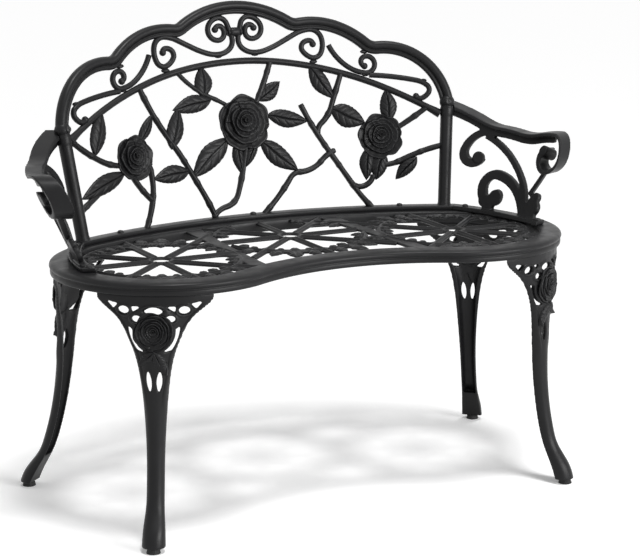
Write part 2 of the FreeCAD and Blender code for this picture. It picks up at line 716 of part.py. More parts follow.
def arm_strokes():
    """Outlines of the right arm, as (distance from the post, height above the seat)."""
    rest = 0.5 * ARM_REST_THICK
    rest_path = [(-12, 197), (29, 180), (62, 165), (100, 155), (145, 150), (190, 152), (236, 159)]
    curl_path = [(259, 149), (268, 126), (258, 102), (234, 92), (213, 103), (211, 118), (222, 123)]
    rest_band = ribbon(rest_path + curl_path, [rest] * 10 + [1.2 * rest, 1.6 * rest, 2.1 * rest, 2.4 * rest])
    web = ribbon([(-12, 187), (29, 171), (62, 156), (100, 146), (145, 141), (190, 143), (232, 150)], [7.5] * 7)
    upper_scroll = ribbon([(84, 146), (50, 137), (35, 111), (52, 88), (69, 98)], [7, 7, 7, 8, 9.5])
    strut = ribbon([(72, 139), (130, 107), (172, 69), (196, 4)], [5, 5, 5.5, 9])
    lower_scroll = ribbon([(196, 6), (162, 52), (115, 71), (88, 46), (106, 17)], [8, 8, 8.5, 9.5, 9])
    boss = Part.Wire(Part.makeCircle(15, Vector(121, 30, 0)))
    brace = ribbon([(202, 46), (216, 70), (230, 95)], [4.5, 4.5, 4.5])
    spur = ribbon([(216, 2), (214, 22), (222, 46)], [16, 16, 9])
    return rest_band, (web, upper_scroll, strut, lower_scroll, boss, brace, spur)


def stand_up(wire, thickness):
    """A flat outline turned to stand along the right arm's chord, as a thick plate."""
    top_start, top_end, _, _ = arm_ends()
    chord = (top_end - top_start).normalize()
    across = chord.cross(Vector(0, 0, 1))
    plate = prism(wire, Vector(0, 0, 2 * thickness))
    plate.translate(Vector(0, 0, -thickness))
    matrix = FreeCAD.Matrix(
        chord.x, 0, across.x, top_start.x,
        chord.y, 0, across.y, top_start.y,
        0, 1, 0, SEAT_TOP,
    )
    plate.Placement = FreeCAD.Placement(matrix).multiply(plate.Placement)
    return plate


def make_arm(keep_out):
    """The right arm: rest, scroll panel and base bar, trimmed by the back."""
    rest_wire, panel_wires = arm_strokes()
    reach = LOBE_RADIUS
    rest = stand_up(rest_wire, reach).common(arm_sheet(0.5 * ARM_REST_WIDTH))
    panel = fuse_all([stand_up(wire, reach) for wire in panel_wires]).common(arm_sheet(0.5 * ARM_PANEL_THICK))
    base_line = [(24, 0.5 * ARM_BASE_THICK), (250, 0.5 * ARM_BASE_THICK)]
    base_wire = ribbon(base_line, [0.5 * ARM_BASE_THICK] * 2)
    base = stand_up(base_wire, reach).common(arm_sheet(0.5 * ARM_BASE_WIDTH))
    arm = fuse_all([rest, panel, base])
    for piece in keep_out:
        arm = arm.cut(piece)
    return largest_solids(arm, 1000)


# Legs


def leg_stations(rake):
    """Sections of a leg from the top down: (height, half width, crest radius, depth)."""
    stations = []
    for drop, half_width, outset, depth in LEG_UPPER:
        stations.append((RIM_BOTTOM - drop, half_width, LEG_TOP_RADIUS + outset + rake * drop, depth))
    for height, half_width, outset, depth in LEG_LOWER:
        stations.append((height, half_width, LEG_TOP_RADIUS + outset + rake * (RIM_BOTTOM - height), depth))
    return stations


def leg_section(height, half_width, crest, depth):
    """A bowed section of a leg: an arc across the front and a flat back."""
    left, right = Vector(-half_width, crest - depth, height), Vector(half_width, crest - depth, height)
    return Part.Wire([arc_edge(left, Vector(0, crest, height), right), Part.LineSegment(right, left).toShape()])


def leg_openings():
    """Openings of the rose lattice, as closed wires in (across, drop below the rim)."""
    wires = []

    def closed(points):
        wires.append(Part.makePolygon([Vector(x, y, 0) for x, y in points + points[:1]]))

    def oval(x, y, half_width, half_height):
        wires.append(Part.Wire(Part.Ellipse(Vector(x, y, 0), half_width, half_height).toShape()))

    def pointed(x0, y0, x1, y1, half_width):
        start, end = Vector(x0, y0, 0), Vector(x1, y1, 0)
        chord = end - start
        normal = Vector(-chord.y, chord.x, 0).normalize() * half_width
        middle = start + chord * 0.5
        wires.append(Part.Wire([arc_edge(start, middle + normal, end), arc_edge(end, middle - normal, start)]))

    pointed(-16, 26, 16, 26, 6.5)
    for side in (-1, 1):
        closed([(side * 81, 11), (side * 60, 15), (side * 68, 25)])
        oval(side * 50, 25, 9.0, 6.5)
        closed([(side * 20, 18.5), (side * 37, 18.5), (side * 35, 28)])
        oval(side * 28, 38.5, 7.5, 5.5)
        rim = LEG_ROSE_RADIUS + 2.5
        inner = [polar(Vector(0, LEG_ROSE_DROP, 0), rim, 90 + side * turn) for turn in (-96, -55, -14)]
        low, bend, high = Vector(side * 28, 92, 0), Vector(side * 38, 73, 0), Vector(side * 43, 51, 0)
        wires.append(Part.Wire([
            arc_edge(*inner),
            Part.LineSegment(inner[2], low).toShape(),
            arc_edge(low, bend, high),
            Part.LineSegment(high, inner[0]).toShape(),
        ]))
        pointed(side * 10, 124, side * 7, 162, 4.5)
    return wires


def make_leg(rake):
    """A leg standing on +Y from the centre of its round end, with its rose and its flange."""
    stations = leg_stations(rake)
    skin = Part.makeLoft([leg_section(*station) for station in stations], True, False)
    hollow = []
    for height, half_width, crest, depth in stations:
        if height >= LEG_SOLID_FOOT:
            hollow.append(leg_section(height, half_width - LEG_WALL, crest - LEG_WALL, depth))
    leg = skin.cut(Part.makeLoft(hollow, True, False))
    turn = FreeCAD.Placement(FreeCAD.Matrix(
        1, 0, 0, 0,
        0, 0, 1, 0,
        0, -1, 0, RIM_BOTTOM,
    ))
    cutters = [prism(wire, Vector(0, 0, 2 * LOBE_RADIUS)) for wire in leg_openings()]
    for cutter in cutters:
        cutter.Placement = turn
    leg = leg.cut(cutters)
    rose = rose_blank(LEG_ROSE_RADIUS)
    seat = LEG_TOP_RADIUS + 8.0 + rake * LEG_ROSE_DROP
    rose.Placement = local_frame(Vector(0, seat, RIM_BOTTOM - LEG_ROSE_DROP), Vector(1, 0, 0), Vector(0, 1, 0))
    pieces = [leg, rose]
    for across, drop, width in ((-24, 116, 17), (22, 132, 19)):
        start = Vector(0, seat + 0.5, RIM_BOTTOM - 92)
        end = Vector(across, seat - 2 + rake * 40, RIM_BOTTOM - drop)
        blade = leaf_blank((end - start).Length, width)
        blade.Placement = local_frame(start, end - start, Vector(0, 1, 0))
        pieces.append(blade)
    flange = Part.makeCylinder(LEG_TOP_RADIUS - 1, LEG_FLANGE_THICK, Vector(0, 0, RIM_BOTTOM - LEG_FLANGE_THICK),
                               Vector(0, 0, 1), 2 * LEG_FLANGE_HALF_ANGLE)
    flange = flange.cut(Part.makeCylinder(LEG_TOP_RADIUS - LEG_FLANGE_WIDTH, RIM_BOTTOM))
    flange.rotate(Vector(0, 0, 0), Vector(0, 0, 1), 90 - LEG_FLANGE_HALF_ANGLE)
    pieces.append(flange)
    return fuse_all(pieces)


def foot_radius(rake):
    """Distance of a levelling foot from the centre of its round end."""
    height, _, crest, _ = leg_stations(rake)[-1]
    return crest - FOOT_SETBACK


def make_foot(rake):
    """Stud and pad of a levelling foot, screwed right in."""
    axis = Vector(0, foot_radius(rake), 0)
    stud_bottom = 0.5 * PAD_HEIGHT
    stud = Part.makeCylinder(STUD_RADIUS, STUD_LENGTH, axis + Vector(0, 0, stud_bottom))
    pad = Part.makeCone(PAD_RADIUS, 0.85 * PAD_RADIUS, PAD_HEIGHT, axis)
    pad = pad.cut(Part.makeCylinder(STUD_RADIUS + STUD_CLEARANCE, STUD_LENGTH, axis + Vector(0, 0, stud_bottom)))
    bore = Part.makeCylinder(STUD_RADIUS + STUD_CLEARANCE, stud_bottom + STUD_LENGTH + 1.0, axis)
    return stud, pad, bore


def set_on_seat(shape, angle, side):
    """Turn a leg piece to its angle from the front, and set it under a round end of the seat."""
    placed = shape.copy()
    placed.rotate(Vector(0, 0, 0), Vector(0, 0, 1), 180 + angle)
    placed.translate(Vector(LOBE_X, 0, 0))
    return placed if side > 0 else mirrored(placed)


# Bolts


def bolt(head_seat, direction):
    """A dome-headed bolt whose head rests at a point, with its shank along a direction."""
    back = Vector(direction) * -1
    shank = Part.makeCylinder(BOLT_RADIUS, BOLT_GRIP, head_seat, direction)
    head = Part.makeCone(BOLT_HEAD_RADIUS, 0.6 * BOLT_HEAD_RADIUS, BOLT_HEAD_HEIGHT, head_seat, back)
    return head.fuse(shank)


def make_back_bolts():
    """The bolts that hold the back's flange to the seat."""
    radius = BACK_RADIUS + 0.5 * (FLANGE_REAR - FLANGE_FRONT)
    bolts = []
    for x in (-FLANGE_BOLT_X, 0.0, FLANGE_BOLT_X):
        seat = Vector(x, BACK_CENTRE_Y + math.sqrt(radius ** 2 - x ** 2), SEAT_TOP + FLANGE_THICK)
        bolts.append(bolt(seat, Vector(0, 0, -1)))
    return bolts


def make_arm_bolts():
    """The bolts that hold the right arm's base bar to the seat."""
    _, _, base_start, base_end = arm_ends()
    centre, radius, first, last = bowed_arc(base_start, base_end, ARM_BASE_BOW)
    bolts = []
    for share in ARM_BOLT_SHARES:
        angle = first + (last - first) * share
        seat = centre + Vector(radius * math.cos(angle), radius * math.sin(angle), SEAT_TOP + ARM_BASE_THICK)
        bolts.append(bolt(seat, Vector(0, 0, -1)))
    return bolts


def make_leg_bolts():
    """The bolts of one leg's flange, in the leg's own place on +Y."""
    radius = LEG_TOP_RADIUS - LEG_BOLT_SETBACK
    seats = [polar(Vector(0, 0, RIM_BOTTOM - LEG_FLANGE_THICK), radius, 90 + turn * LEG_BOLT_ANGLE) for turn in (-1, 1)]
    return [bolt(seat, Vector(0, 0, 1)) for seat in seats]


def build_nodes():
    """Every piece of the bench, by its node's name."""
    nodes = {}
    flange = make_flange()
    hoop = make_hoop()
    rail = make_rail(hoop)
    collar = make_collar()
    scroll_right = make_scrolls([hoop, rail, collar])
    nodes["seat_rim"] = make_rim()
    nodes["seat_wheel_right"], nodes["seat_wheel_centre"] = make_lattice()
    nodes["seat_wheel_left"] = mirrored(nodes["seat_wheel_right"])
    nodes["back_flange"] = flange
    nodes["back_hoop"] = hoop
    nodes["back_rail"] = rail
    nodes["scroll_collar"] = collar
    nodes["scroll_right"] = scroll_right
    nodes["scroll_left"] = mirrored(scroll_right)
    roses = {name: make_rose(*place) for name, place in ROSES.items()}
    nodes.update(roses)
    nodes.update(make_vines([hoop, rail, space_below_back(), *roses.values()]))
    arm_bolts = make_arm_bolts()
    arm = make_arm([hoop, flange, *arm_bolts])
    nodes["arm_right"] = arm
    nodes["arm_left"] = mirrored(arm)
    leg_bolts = []
    for end, angle, rake in (("front", LEG_FRONT_ANGLE, 0.0), ("rear", LEG_REAR_ANGLE, LEG_REAR_RAKE)):
        leg = make_leg(rake)
        stud, pad, bore = make_foot(rake)
        leg = leg.cut([bore, *make_leg_bolts()])
        for side_name, side in (("right", 1), ("left", -1)):
            leg_bolts += [set_on_seat(piece, angle, side) for piece in make_leg_bolts()]
            nodes[f"leg_{end}_{side_name}"] = set_on_seat(leg, angle, side)
            nodes[f"stud_{end}_{side_name}"] = set_on_seat(stud, angle, side)
            nodes[f"pad_{end}_{side_name}"] = set_on_seat(pad, angle, side)
    back_bolts = make_back_bolts()
    arm_bolts += [mirrored(piece) for piece in arm_bolts]
    nodes["back_flange"] = flange.cut(back_bolts)
    nodes["seat_rim"] = nodes["seat_rim"].cut(back_bolts + arm_bolts + leg_bolts)
    for name, bolts in (("back_bolts", back_bolts), ("arm_bolts", arm_bolts), ("leg_bolts", leg_bolts)):
        nodes[name] = Part.makeCompound(bolts)
    return nodes


def main():
    """Build every piece, set the origin under the middle of the box and write the files."""
    nodes = build_nodes()
    box = FreeCAD.BoundBox()
    for shape in nodes.values():
        box.add(shape.optimalBoundingBox(False))
    shift = Vector(-box.Center.x, -box.Center.y, -box.ZMin)
    os.makedirs("parts", exist_ok=True)
    for name, shape in nodes.items():
        shape.translate(shift)
        shape.exportStep(f"parts/{name}.step")
        print(f"{name}: {len(shape.Solids)} solids, {shape.Volume / 1000:.1f} cm3, valid {shape.isValid()}")
    print(f"box {box.XLength:.1f} x {box.YLength:.1f} x {box.ZLength:.1f}, shift {shift.y:.3f} {shift.z:.3f}")


main()
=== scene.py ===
"""Looks of the cast garden bench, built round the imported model.

Sizes are in millimetres in the bench's own drawing frame, whose origin lies on the line through the
centres of the seat's two round ends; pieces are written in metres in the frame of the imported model.
"""

import logging
import math
from dataclasses import dataclass, field
from enum import Enum

import bmesh
import bpy
import numpy as np
from mathutils import Matrix, Vector
from mathutils.bvhtree import BVHTree


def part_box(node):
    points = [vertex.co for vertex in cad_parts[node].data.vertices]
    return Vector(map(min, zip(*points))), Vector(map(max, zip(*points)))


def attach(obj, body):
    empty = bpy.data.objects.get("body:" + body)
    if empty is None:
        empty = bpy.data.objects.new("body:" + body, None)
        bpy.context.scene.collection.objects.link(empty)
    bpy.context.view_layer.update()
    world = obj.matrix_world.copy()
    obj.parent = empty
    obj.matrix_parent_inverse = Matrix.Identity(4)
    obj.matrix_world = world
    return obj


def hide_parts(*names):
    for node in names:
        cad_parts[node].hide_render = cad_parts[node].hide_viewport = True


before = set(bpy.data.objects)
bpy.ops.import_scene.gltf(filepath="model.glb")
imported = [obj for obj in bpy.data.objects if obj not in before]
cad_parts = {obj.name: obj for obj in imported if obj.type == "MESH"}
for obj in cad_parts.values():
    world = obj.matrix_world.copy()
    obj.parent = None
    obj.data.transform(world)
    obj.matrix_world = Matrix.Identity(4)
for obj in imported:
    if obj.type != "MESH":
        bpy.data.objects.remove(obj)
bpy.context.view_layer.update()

MM = 0.001
UP = np.array([0.0, 0.0, 1.0])
# Angle in radians below which an arc is laid as a straight line
STRAIGHT = 1e-4
# Distances in metres: doubled points of a drawn piece and of a copied CAD mesh, and edges too short to keep
DRAWN_GAP, COPIED_GAP, SHORT_EDGE = 1e-5, 1e-6, 1e-6
Array = np.ndarray
Pair = tuple[float, float]
Pairs = tuple[Pair, ...]
Triple = tuple[float, float, float]
# Cell size in millimetres of a fused skin, and its smoothing rounds
Skin = tuple[float, int]
Mesh = bpy.types.Mesh
Socket = bpy.types.NodeSocket
# Crease angle in degrees of a skin without sharp edges
NO_CREASE = 180.0
LOG = logging.getLogger("bench")


class Slot(Enum):
    """Material slots of the record."""

    CASTING = "black_casting"
    BOLT = "black_bolt"
    STEEL = "stud_steel"
    PLASTIC = "pad_plastic"


class Side(Enum):
    """Sides of the bench, by the sign of x."""

    LEFT = -1
    RIGHT = 1


class End(Enum):
    """Front and rear legs: angle from the front about the round end, and rake per unit of drop."""

    FRONT = (30.0, 0.0)
    REAR = (139.5, 0.1)


# Shapes in numbers


def unit(vectors: Array) -> Array:
    """Vectors scaled to a length of one."""
    return vectors / np.linalg.norm(vectors, axis=-1, keepdims=True)


def turns(count: int) -> Array:
    """Angles in radians that part one turn evenly."""
    return np.linspace(0, 2 * math.pi, count, endpoint=False)


def circle_profile(radius: float, count: int = 16) -> Array:
    """Points of a round section as (side, front) pairs."""
    turn = turns(count)
    return radius * np.stack([np.cos(turn), np.sin(turn)], axis=1)


def smooth_step(values: Array, low: float, high: float) -> Array:
    """A soft step from 0 at low to 1 at high."""
    share = np.clip((values - low) / (high - low), 0, 1)
    return share * share * (3 - 2 * share)


def to_frame(points: Array) -> Array:
    """Points of the drawing frame in millimetres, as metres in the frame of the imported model."""
    return (points + np.array([0, SHIFT_Y, 0])) * MM


def from_frame(points: Array) -> Array:
    """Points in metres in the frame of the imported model, as millimetres in the drawing frame."""
    return points / MM - np.array([0, SHIFT_Y, 0])


@dataclass
class Path:
    """A smooth line with its direction at every point."""

    points: Array
    tangents: Array

    @classmethod
    def through(cls, knots: Array, step: float = 2.0, start: Array | None = None) -> "Path":
        """Lay tangent arcs through points.

        Args:
            knots: The points that the line passes through, one per row.
            step: The distance between samples.
            start: The direction at the first point, or None for the circle through the first three.

        Returns:
            The sampled line.
        """
        if start is None:
            start = cls.first_direction(knots)
        tangent = unit(np.asarray(start, float))
        points, tangents = [], []
        for first, last in zip(knots[:-1], knots[1:]):
            chord = last - first
            reach = np.linalg.norm(chord)
            along = chord / reach
            turn = math.acos(float(np.clip(tangent @ along, -1, 1)))
            length = reach if turn < STRAIGHT else reach * turn / math.sin(turn)
            shares = np.arange(max(3, math.ceil(length / step)))[:, None]
            shares = shares / len(shares)
            if turn < STRAIGHT:
                points.append(first + chord * shares)
                tangents.append(np.repeat(along[None], len(shares), axis=0))
            else:
                normal = unit(along - tangent * math.cos(turn))
                radius = reach / (2 * math.sin(turn))
                angle = 2 * turn * shares
                points.append(first + radius * (np.sin(angle) * tangent + (1 - np.cos(angle)) * normal))
                tangents.append(np.cos(angle) * tangent + np.sin(angle) * normal)
            tangent = 2 * along * (tangent @ along) - tangent
        return cls(np.vstack(points + [knots[-1:]]), np.vstack(tangents + [tangent[None]]))

    @staticmethod
    def first_direction(knots: Array) -> Array:
        """Direction at the first point, of the circle through the first three points.

        Args:
            knots: The points, one per row.

        Returns:
            The direction, not scaled; the first chord where there is no such circle.
        """
        ahead = knots[1] - knots[0]
        if len(knots) < 3:
            return ahead
        beyond = knots[2] - knots[0]
        direction = ahead / (ahead @ ahead) - beyond / (beyond @ beyond)
        if np.linalg.norm(direction) < 1e-9:
            return ahead
        return direction if direction @ ahead > 0 else -direction

    def lengths(self) -> Array:
        """Distance along the line of every point."""
        steps = np.linalg.norm(np.diff(self.points, axis=0), axis=1)
        return np.concatenate([[0.0], np.cumsum(steps)])

    def sweep(self, facing: Array, profile: Array, scale: Array | float = 1.0) -> Array:
        """Carry a section along the line.

        Args:
            facing: The direction that the section's front turns to, at every point or for all.
            profile: The section as (side, front) pairs; side is facing crossed with the direction.
            scale: The section's size at every point.

        Returns:
            A sheet of points, one row per point of the line.
        """
        facing = np.broadcast_to(facing, self.points.shape)
        side = unit(np.cross(facing, self.tangents))
        front = np.cross(self.tangents, side)
        size = np.broadcast_to(np.asarray(scale, float), len(self.points))[:, None, None]
        spread = profile[None, :, :1] * side[:, None] + profile[None, :, 1:] * front[:, None]
        return self.points[:, None] + size * spread


class Shell:
    """Points and faces of a piece, gathered in millimetres in the drawing frame."""

    def __init__(self, rows: Array | None = None, looped: bool = False) -> None:
        """Start with one sheet or with nothing.

        Args:
            rows: Points of the sheet, as for the method sheet.
            looped: Whether the sheet's last row joins the first.
        """
        self.points: list[Array] = []
        self.faces: list[tuple[int, ...]] = []
        self.count = 0
        if rows is not None:
            self.sheet(rows, looped)

    def sheet(self, rows: Array, looped: bool = False) -> None:
        """Skin rows of points with faces, each row closed on itself.

        Args:
            rows: Points as rows by columns by 3.
            looped: Whether the last row joins the first; if not, a face closes each of the two.
        """
        count, width = rows.shape[:2]
        index = self.count + np.arange(count * width).reshape(count, width)
        if looped:
            index = np.vstack([index, index[:1]])
        index = np.hstack([index, index[:, :1]])
        quads = np.stack([index[:-1, :-1], index[:-1, 1:], index[1:, 1:], index[1:, :-1]], axis=-1)
        self.points.append(rows.reshape(-1, 3))
        self.faces += [tuple(quad) for quad in quads.reshape(-1, 4).tolist()]
        if not looped:
            first = self.count + np.arange(width)
            last = first + (count - 1) * width
            self.faces += [tuple(first[::-1].tolist()), tuple(last.tolist())]
        self.count += count * width

    def add(self, other: "Shell") -> None:
        """Take in another shell's points and faces."""
        self.faces += [tuple(index + self.count for index in face) for face in other.faces]
        self.points, self.count = self.points + other.points, self.count + other.count

    def placed(self, origin: Array, x_axis: Array, y_axis: Array, z_axis: Array) -> "Shell":
        """A copy carried from its own axes to a place.

        Args:
            origin: The place of its own origin.
            x_axis: What its x axis becomes.
            y_axis: What its y axis becomes.
            z_axis: What its z axis becomes.

        Returns:
            The copy.
        """
        copy = Shell()
        copy.points = [origin + np.vstack(self.points) @ np.stack([x_axis, y_axis, z_axis])]
        copy.faces = list(self.faces)
        copy.count = self.count
        return copy

    def skin(self, name: str, points: Array) -> Mesh:
        """A clean mesh of the shell's faces, turned outwards.

        Args:
            name: Name of the mesh.
            points: The shell's points in metres.

        Returns:
            The mesh.
        """
        mesh = bpy.data.meshes.new(name)
        mesh.from_pydata(points.tolist(), [], self.faces)
        work = bmesh.new()
        work.from_mesh(mesh)
        bmesh.ops.remove_doubles(work, verts=work.verts, dist=DRAWN_GAP)
        bmesh.ops.dissolve_degenerate(work, edges=work.edges, dist=SHORT_EDGE)
        bmesh.ops.recalc_face_normals(work, faces=work.faces)
        work.to_mesh(mesh)
        work.free()
        return mesh

    def mesh(self, name: str) -> Mesh:
        """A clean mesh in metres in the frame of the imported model."""
        return self.skin(name, to_frame(np.vstack(self.points)))

    def blank(self, name: str) -> Mesh:
        """A clean mesh in metres about its own origin."""
        return self.skin(name, np.vstack(self.points) * MM)


def linked(name: str, data: bpy.types.ID) -> bpy.types.Object:
    """A new object in the scene.

    Args:
        name: Name of the object.
        data: The mesh, lamp or camera that it shows.

    Returns:
        The object.
    """
    item = bpy.data.objects.new(name, data)
    bpy.context.scene.collection.objects.link(item)
    return item


def dress(
    name: str,
    mesh: Mesh,
    nodes: list[str],
    crease: float = 42.0,
    slot: Slot = Slot.CASTING,
    body: str = "bench_frame",
) -> None:
    """Show a mesh as a smooth piece, ride it on its body, name its slot and let it stand for its nodes.

    Args:
        name: Name of the piece.
        mesh: The mesh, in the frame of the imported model.
        nodes: The CAD nodes that the piece stands for, if any.
        crease: Angle in degrees from which an edge is sharp.
        slot: Material slot, which also gives the finish.
        body: The body that carries the piece.
    """
    mesh.materials.clear()
    mesh.materials.append(LOOKS[slot])
    mesh.shade_smooth()
    mesh.set_sharp_from_angle(angle=math.radians(crease))
    piece = linked(name, mesh)
    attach(piece, body)
    if nodes:
        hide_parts(*nodes)
    LOG.info("%s: %d faces, rides on %s, stands for %s", piece.name, len(piece.data.polygons), body, nodes)


def evaluated_mesh(piece: bpy.types.Object, name: str) -> Mesh:
    """The piece's mesh with its modifiers applied.

    Args:
        piece: The piece, which is removed.
        name: Name of the new mesh.

    Returns:
        A plain mesh.
    """
    bpy.context.view_layer.update()
    graph = bpy.context.evaluated_depsgraph_get()
    mesh = bpy.data.meshes.new_from_object(piece.evaluated_get(graph))
    mesh.name = name
    bpy.data.objects.remove(piece)
    return mesh


def cast_skin(name: str, parts: list[Mesh], voxel: float, rounds: int) -> Mesh:
    """Fuse overlapping meshes into one soft-edged skin.

    Args:
        name: Name of the new mesh.
        parts: The meshes, which are used up.
        voxel: Cell size of the skin in millimetres.
        rounds: Smoothing rounds, which soften the edges as a casting's are.

    Returns:
        The skin as a plain mesh.
    """
    blank = linked(name, joined(name, parts))
    remesh = blank.modifiers.new("skin", "REMESH")
    remesh.mode = "VOXEL"
    remesh.voxel_size = voxel * MM
    soften = blank.modifiers.new("soften", "SMOOTH")
    soften.factor = 0.5
    soften.iterations = rounds
    return evaluated_mesh(blank, name)


def joined(name: str, parts: list[Mesh], gap: float = 0.0) -> Mesh:
    """One mesh made of several.

    Args:
        name: Name of the new mesh.
        parts: The meshes, which are used up.
        gap: Distance at which doubled points merge, in metres, or 0 to keep all points.

    Returns:
        The new mesh.
    """
    work = bmesh.new()
    for part in parts:
        work.from_mesh(part)
        bpy.data.meshes.remove(part)
    if gap:
        bmesh.ops.remove_doubles(work, verts=work.verts, dist=gap)
    mesh = bpy.data.meshes.new(name)
    work.to_mesh(mesh)
    work.free()
    return mesh


def node_copy(node: str) -> Mesh:
    """A copy of a CAD node's mesh, with its loose triangles merged."""
    return joined(node, [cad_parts[node].data.copy()], COPIED_GAP)


def surface_tree(*nodes: str) -> BVHTree:
    """A search tree of the surfaces of CAD nodes.

    Args:
        nodes: Names of the nodes.

    Returns:
        The tree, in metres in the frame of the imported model.
    """
    points, faces = [], []
    for name in nodes:
        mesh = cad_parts[name].data
        faces += [[index + len(points) for index in face.vertices] for face in mesh.polygons]
        points += [vertex.co.copy() for vertex in mesh.vertices]
    return BVHTree.FromPolygons(points, faces)


def vector_rows(items: bpy.types.bpy_prop_collection, key: str) -> Array:
    """A vector of every item of a mesh's list.

    Args:
        items: The mesh's list.
        key: Name of the vector.

    Returns:
        The vectors, one per row.
    """
    flat = np.empty(len(items) * 3)
    items.foreach_get(key, flat)
    return flat.reshape(-1, 3)


@dataclass
class Scatter:
    """Copies of one blank, each set on its own seat by a node tree."""

    name: str
    slot: Slot = Slot.CASTING
    places: list[Array] = field(default_factory=list)
    turns: list[Array] = field(default_factory=list)
    sizes: list[Array] = field(default_factory=list)

    def seat(self, place: Array, x_axis: Array, z_axis: Array, size: Array) -> None:
        """Add a seat.

        Args:
            place: The seat in the drawing frame, in millimetres.
            x_axis: The direction that the blank's x axis takes there.
            z_axis: The side that the blank's z axis faces there.
            size: The blank's scale along its own three axes.
        """
        along = unit(x_axis)
        side = unit(np.cross(z_axis, along))
        turn = Matrix(np.stack([along, side, np.cross(along, side)], axis=1).tolist()).to_euler()
        self.places.append(to_frame(place))
        self.turns.append(np.array(turn))
        self.sizes.append(np.asarray(size, float))

    def tree(self) -> bpy.types.GeometryNodeTree:
        """Node tree that sets the blank on every seat by the seat's own turn and size.

        Returns:
            The tree, with the seats, the blank and a common size as inputs.
        """
        tree = bpy.data.node_groups.new(self.name, "GeometryNodeTree")
        for name, kind in (("Seats", "Geometry"), ("Blank", "Object"), ("Size", "Float")):
            tree.interface.new_socket(name, in_out="INPUT", socket_type=f"NodeSocket{kind}")
        tree.interface.new_socket("Copies", in_out="OUTPUT", socket_type="NodeSocketGeometry")
        nodes, links = tree.nodes, tree.links
        source, target = nodes.new("NodeGroupInput"), nodes.new("NodeGroupOutput")
        shape = nodes.new("GeometryNodeObjectInfo")
        scatter = nodes.new("GeometryNodeInstanceOnPoints")
        realize = nodes.new("GeometryNodeRealizeInstances")
        paint = nodes.new("GeometryNodeSetMaterial")
        paint.inputs["Material"].default_value = LOOKS[self.slot]
        turn = nodes.new("FunctionNodeEulerToRotation")
        scaled = nodes.new("ShaderNodeVectorMath")
        scaled.operation = "SCALE"
        for name, socket in (("turn", turn.inputs["Euler"]), ("size", scaled.inputs["Vector"])):
            stored = nodes.new("GeometryNodeInputNamedAttribute")
            stored.data_type = "FLOAT_VECTOR"
            stored.inputs["Name"].default_value = name
            links.new(stored.outputs["Attribute"], socket)
        for giver, given, taker, taken in (
            (source, "Size", scaled, "Scale"), (source, "Blank", shape, "Object"),
            (source, "Seats", scatter, "Points"), (shape, "Geometry", scatter, "Instance"),
            (turn, "Rotation", scatter, "Rotation"), (scaled, "Vector", scatter, "Scale"),
            (scatter, "Instances", realize, "Geometry"), (realize, "Geometry", paint, "Geometry"),
            (paint, "Geometry", target, "Copies"),
        ):
            links.new(giver.outputs[given], taker.inputs[taken])
        return tree

    def mesh(self, blank: Mesh) -> Mesh:
        """Run the tree on the seats.

        Args:
            blank: The shape that is repeated, which is used up.

        Returns:
            All copies as one plain mesh.
        """
        seats = bpy.data.meshes.new(f"{self.name}_seats")
        seats.from_pydata([place.tolist() for place in self.places], [], [])
        for name, rows in (("turn", self.turns), ("size", self.sizes)):
            stored = seats.attributes.new(name, "FLOAT_VECTOR", "POINT")
            stored.data.foreach_set("vector", np.concatenate(rows))
        row = linked(self.name, seats)
        shape = linked(f"{self.name}_blank", blank)
        tree = self.tree()
        modifier = row.modifiers.new("copies", "NODES")
        modifier.node_group = tree
        sockets = {item.name: item.identifier for item in tree.interface.items_tree if item.in_out == "INPUT"}
        modifier[sockets["Blank"]] = shape
        modifier[sockets["Size"]] = 1.0
        mesh = evaluated_mesh(row, self.name)
        bpy.data.objects.remove(shape)
        for name in ("turn", "size"):
            if name in mesh.attributes:
                mesh.attributes.remove(mesh.attributes[name])
        return mesh


# Finishes


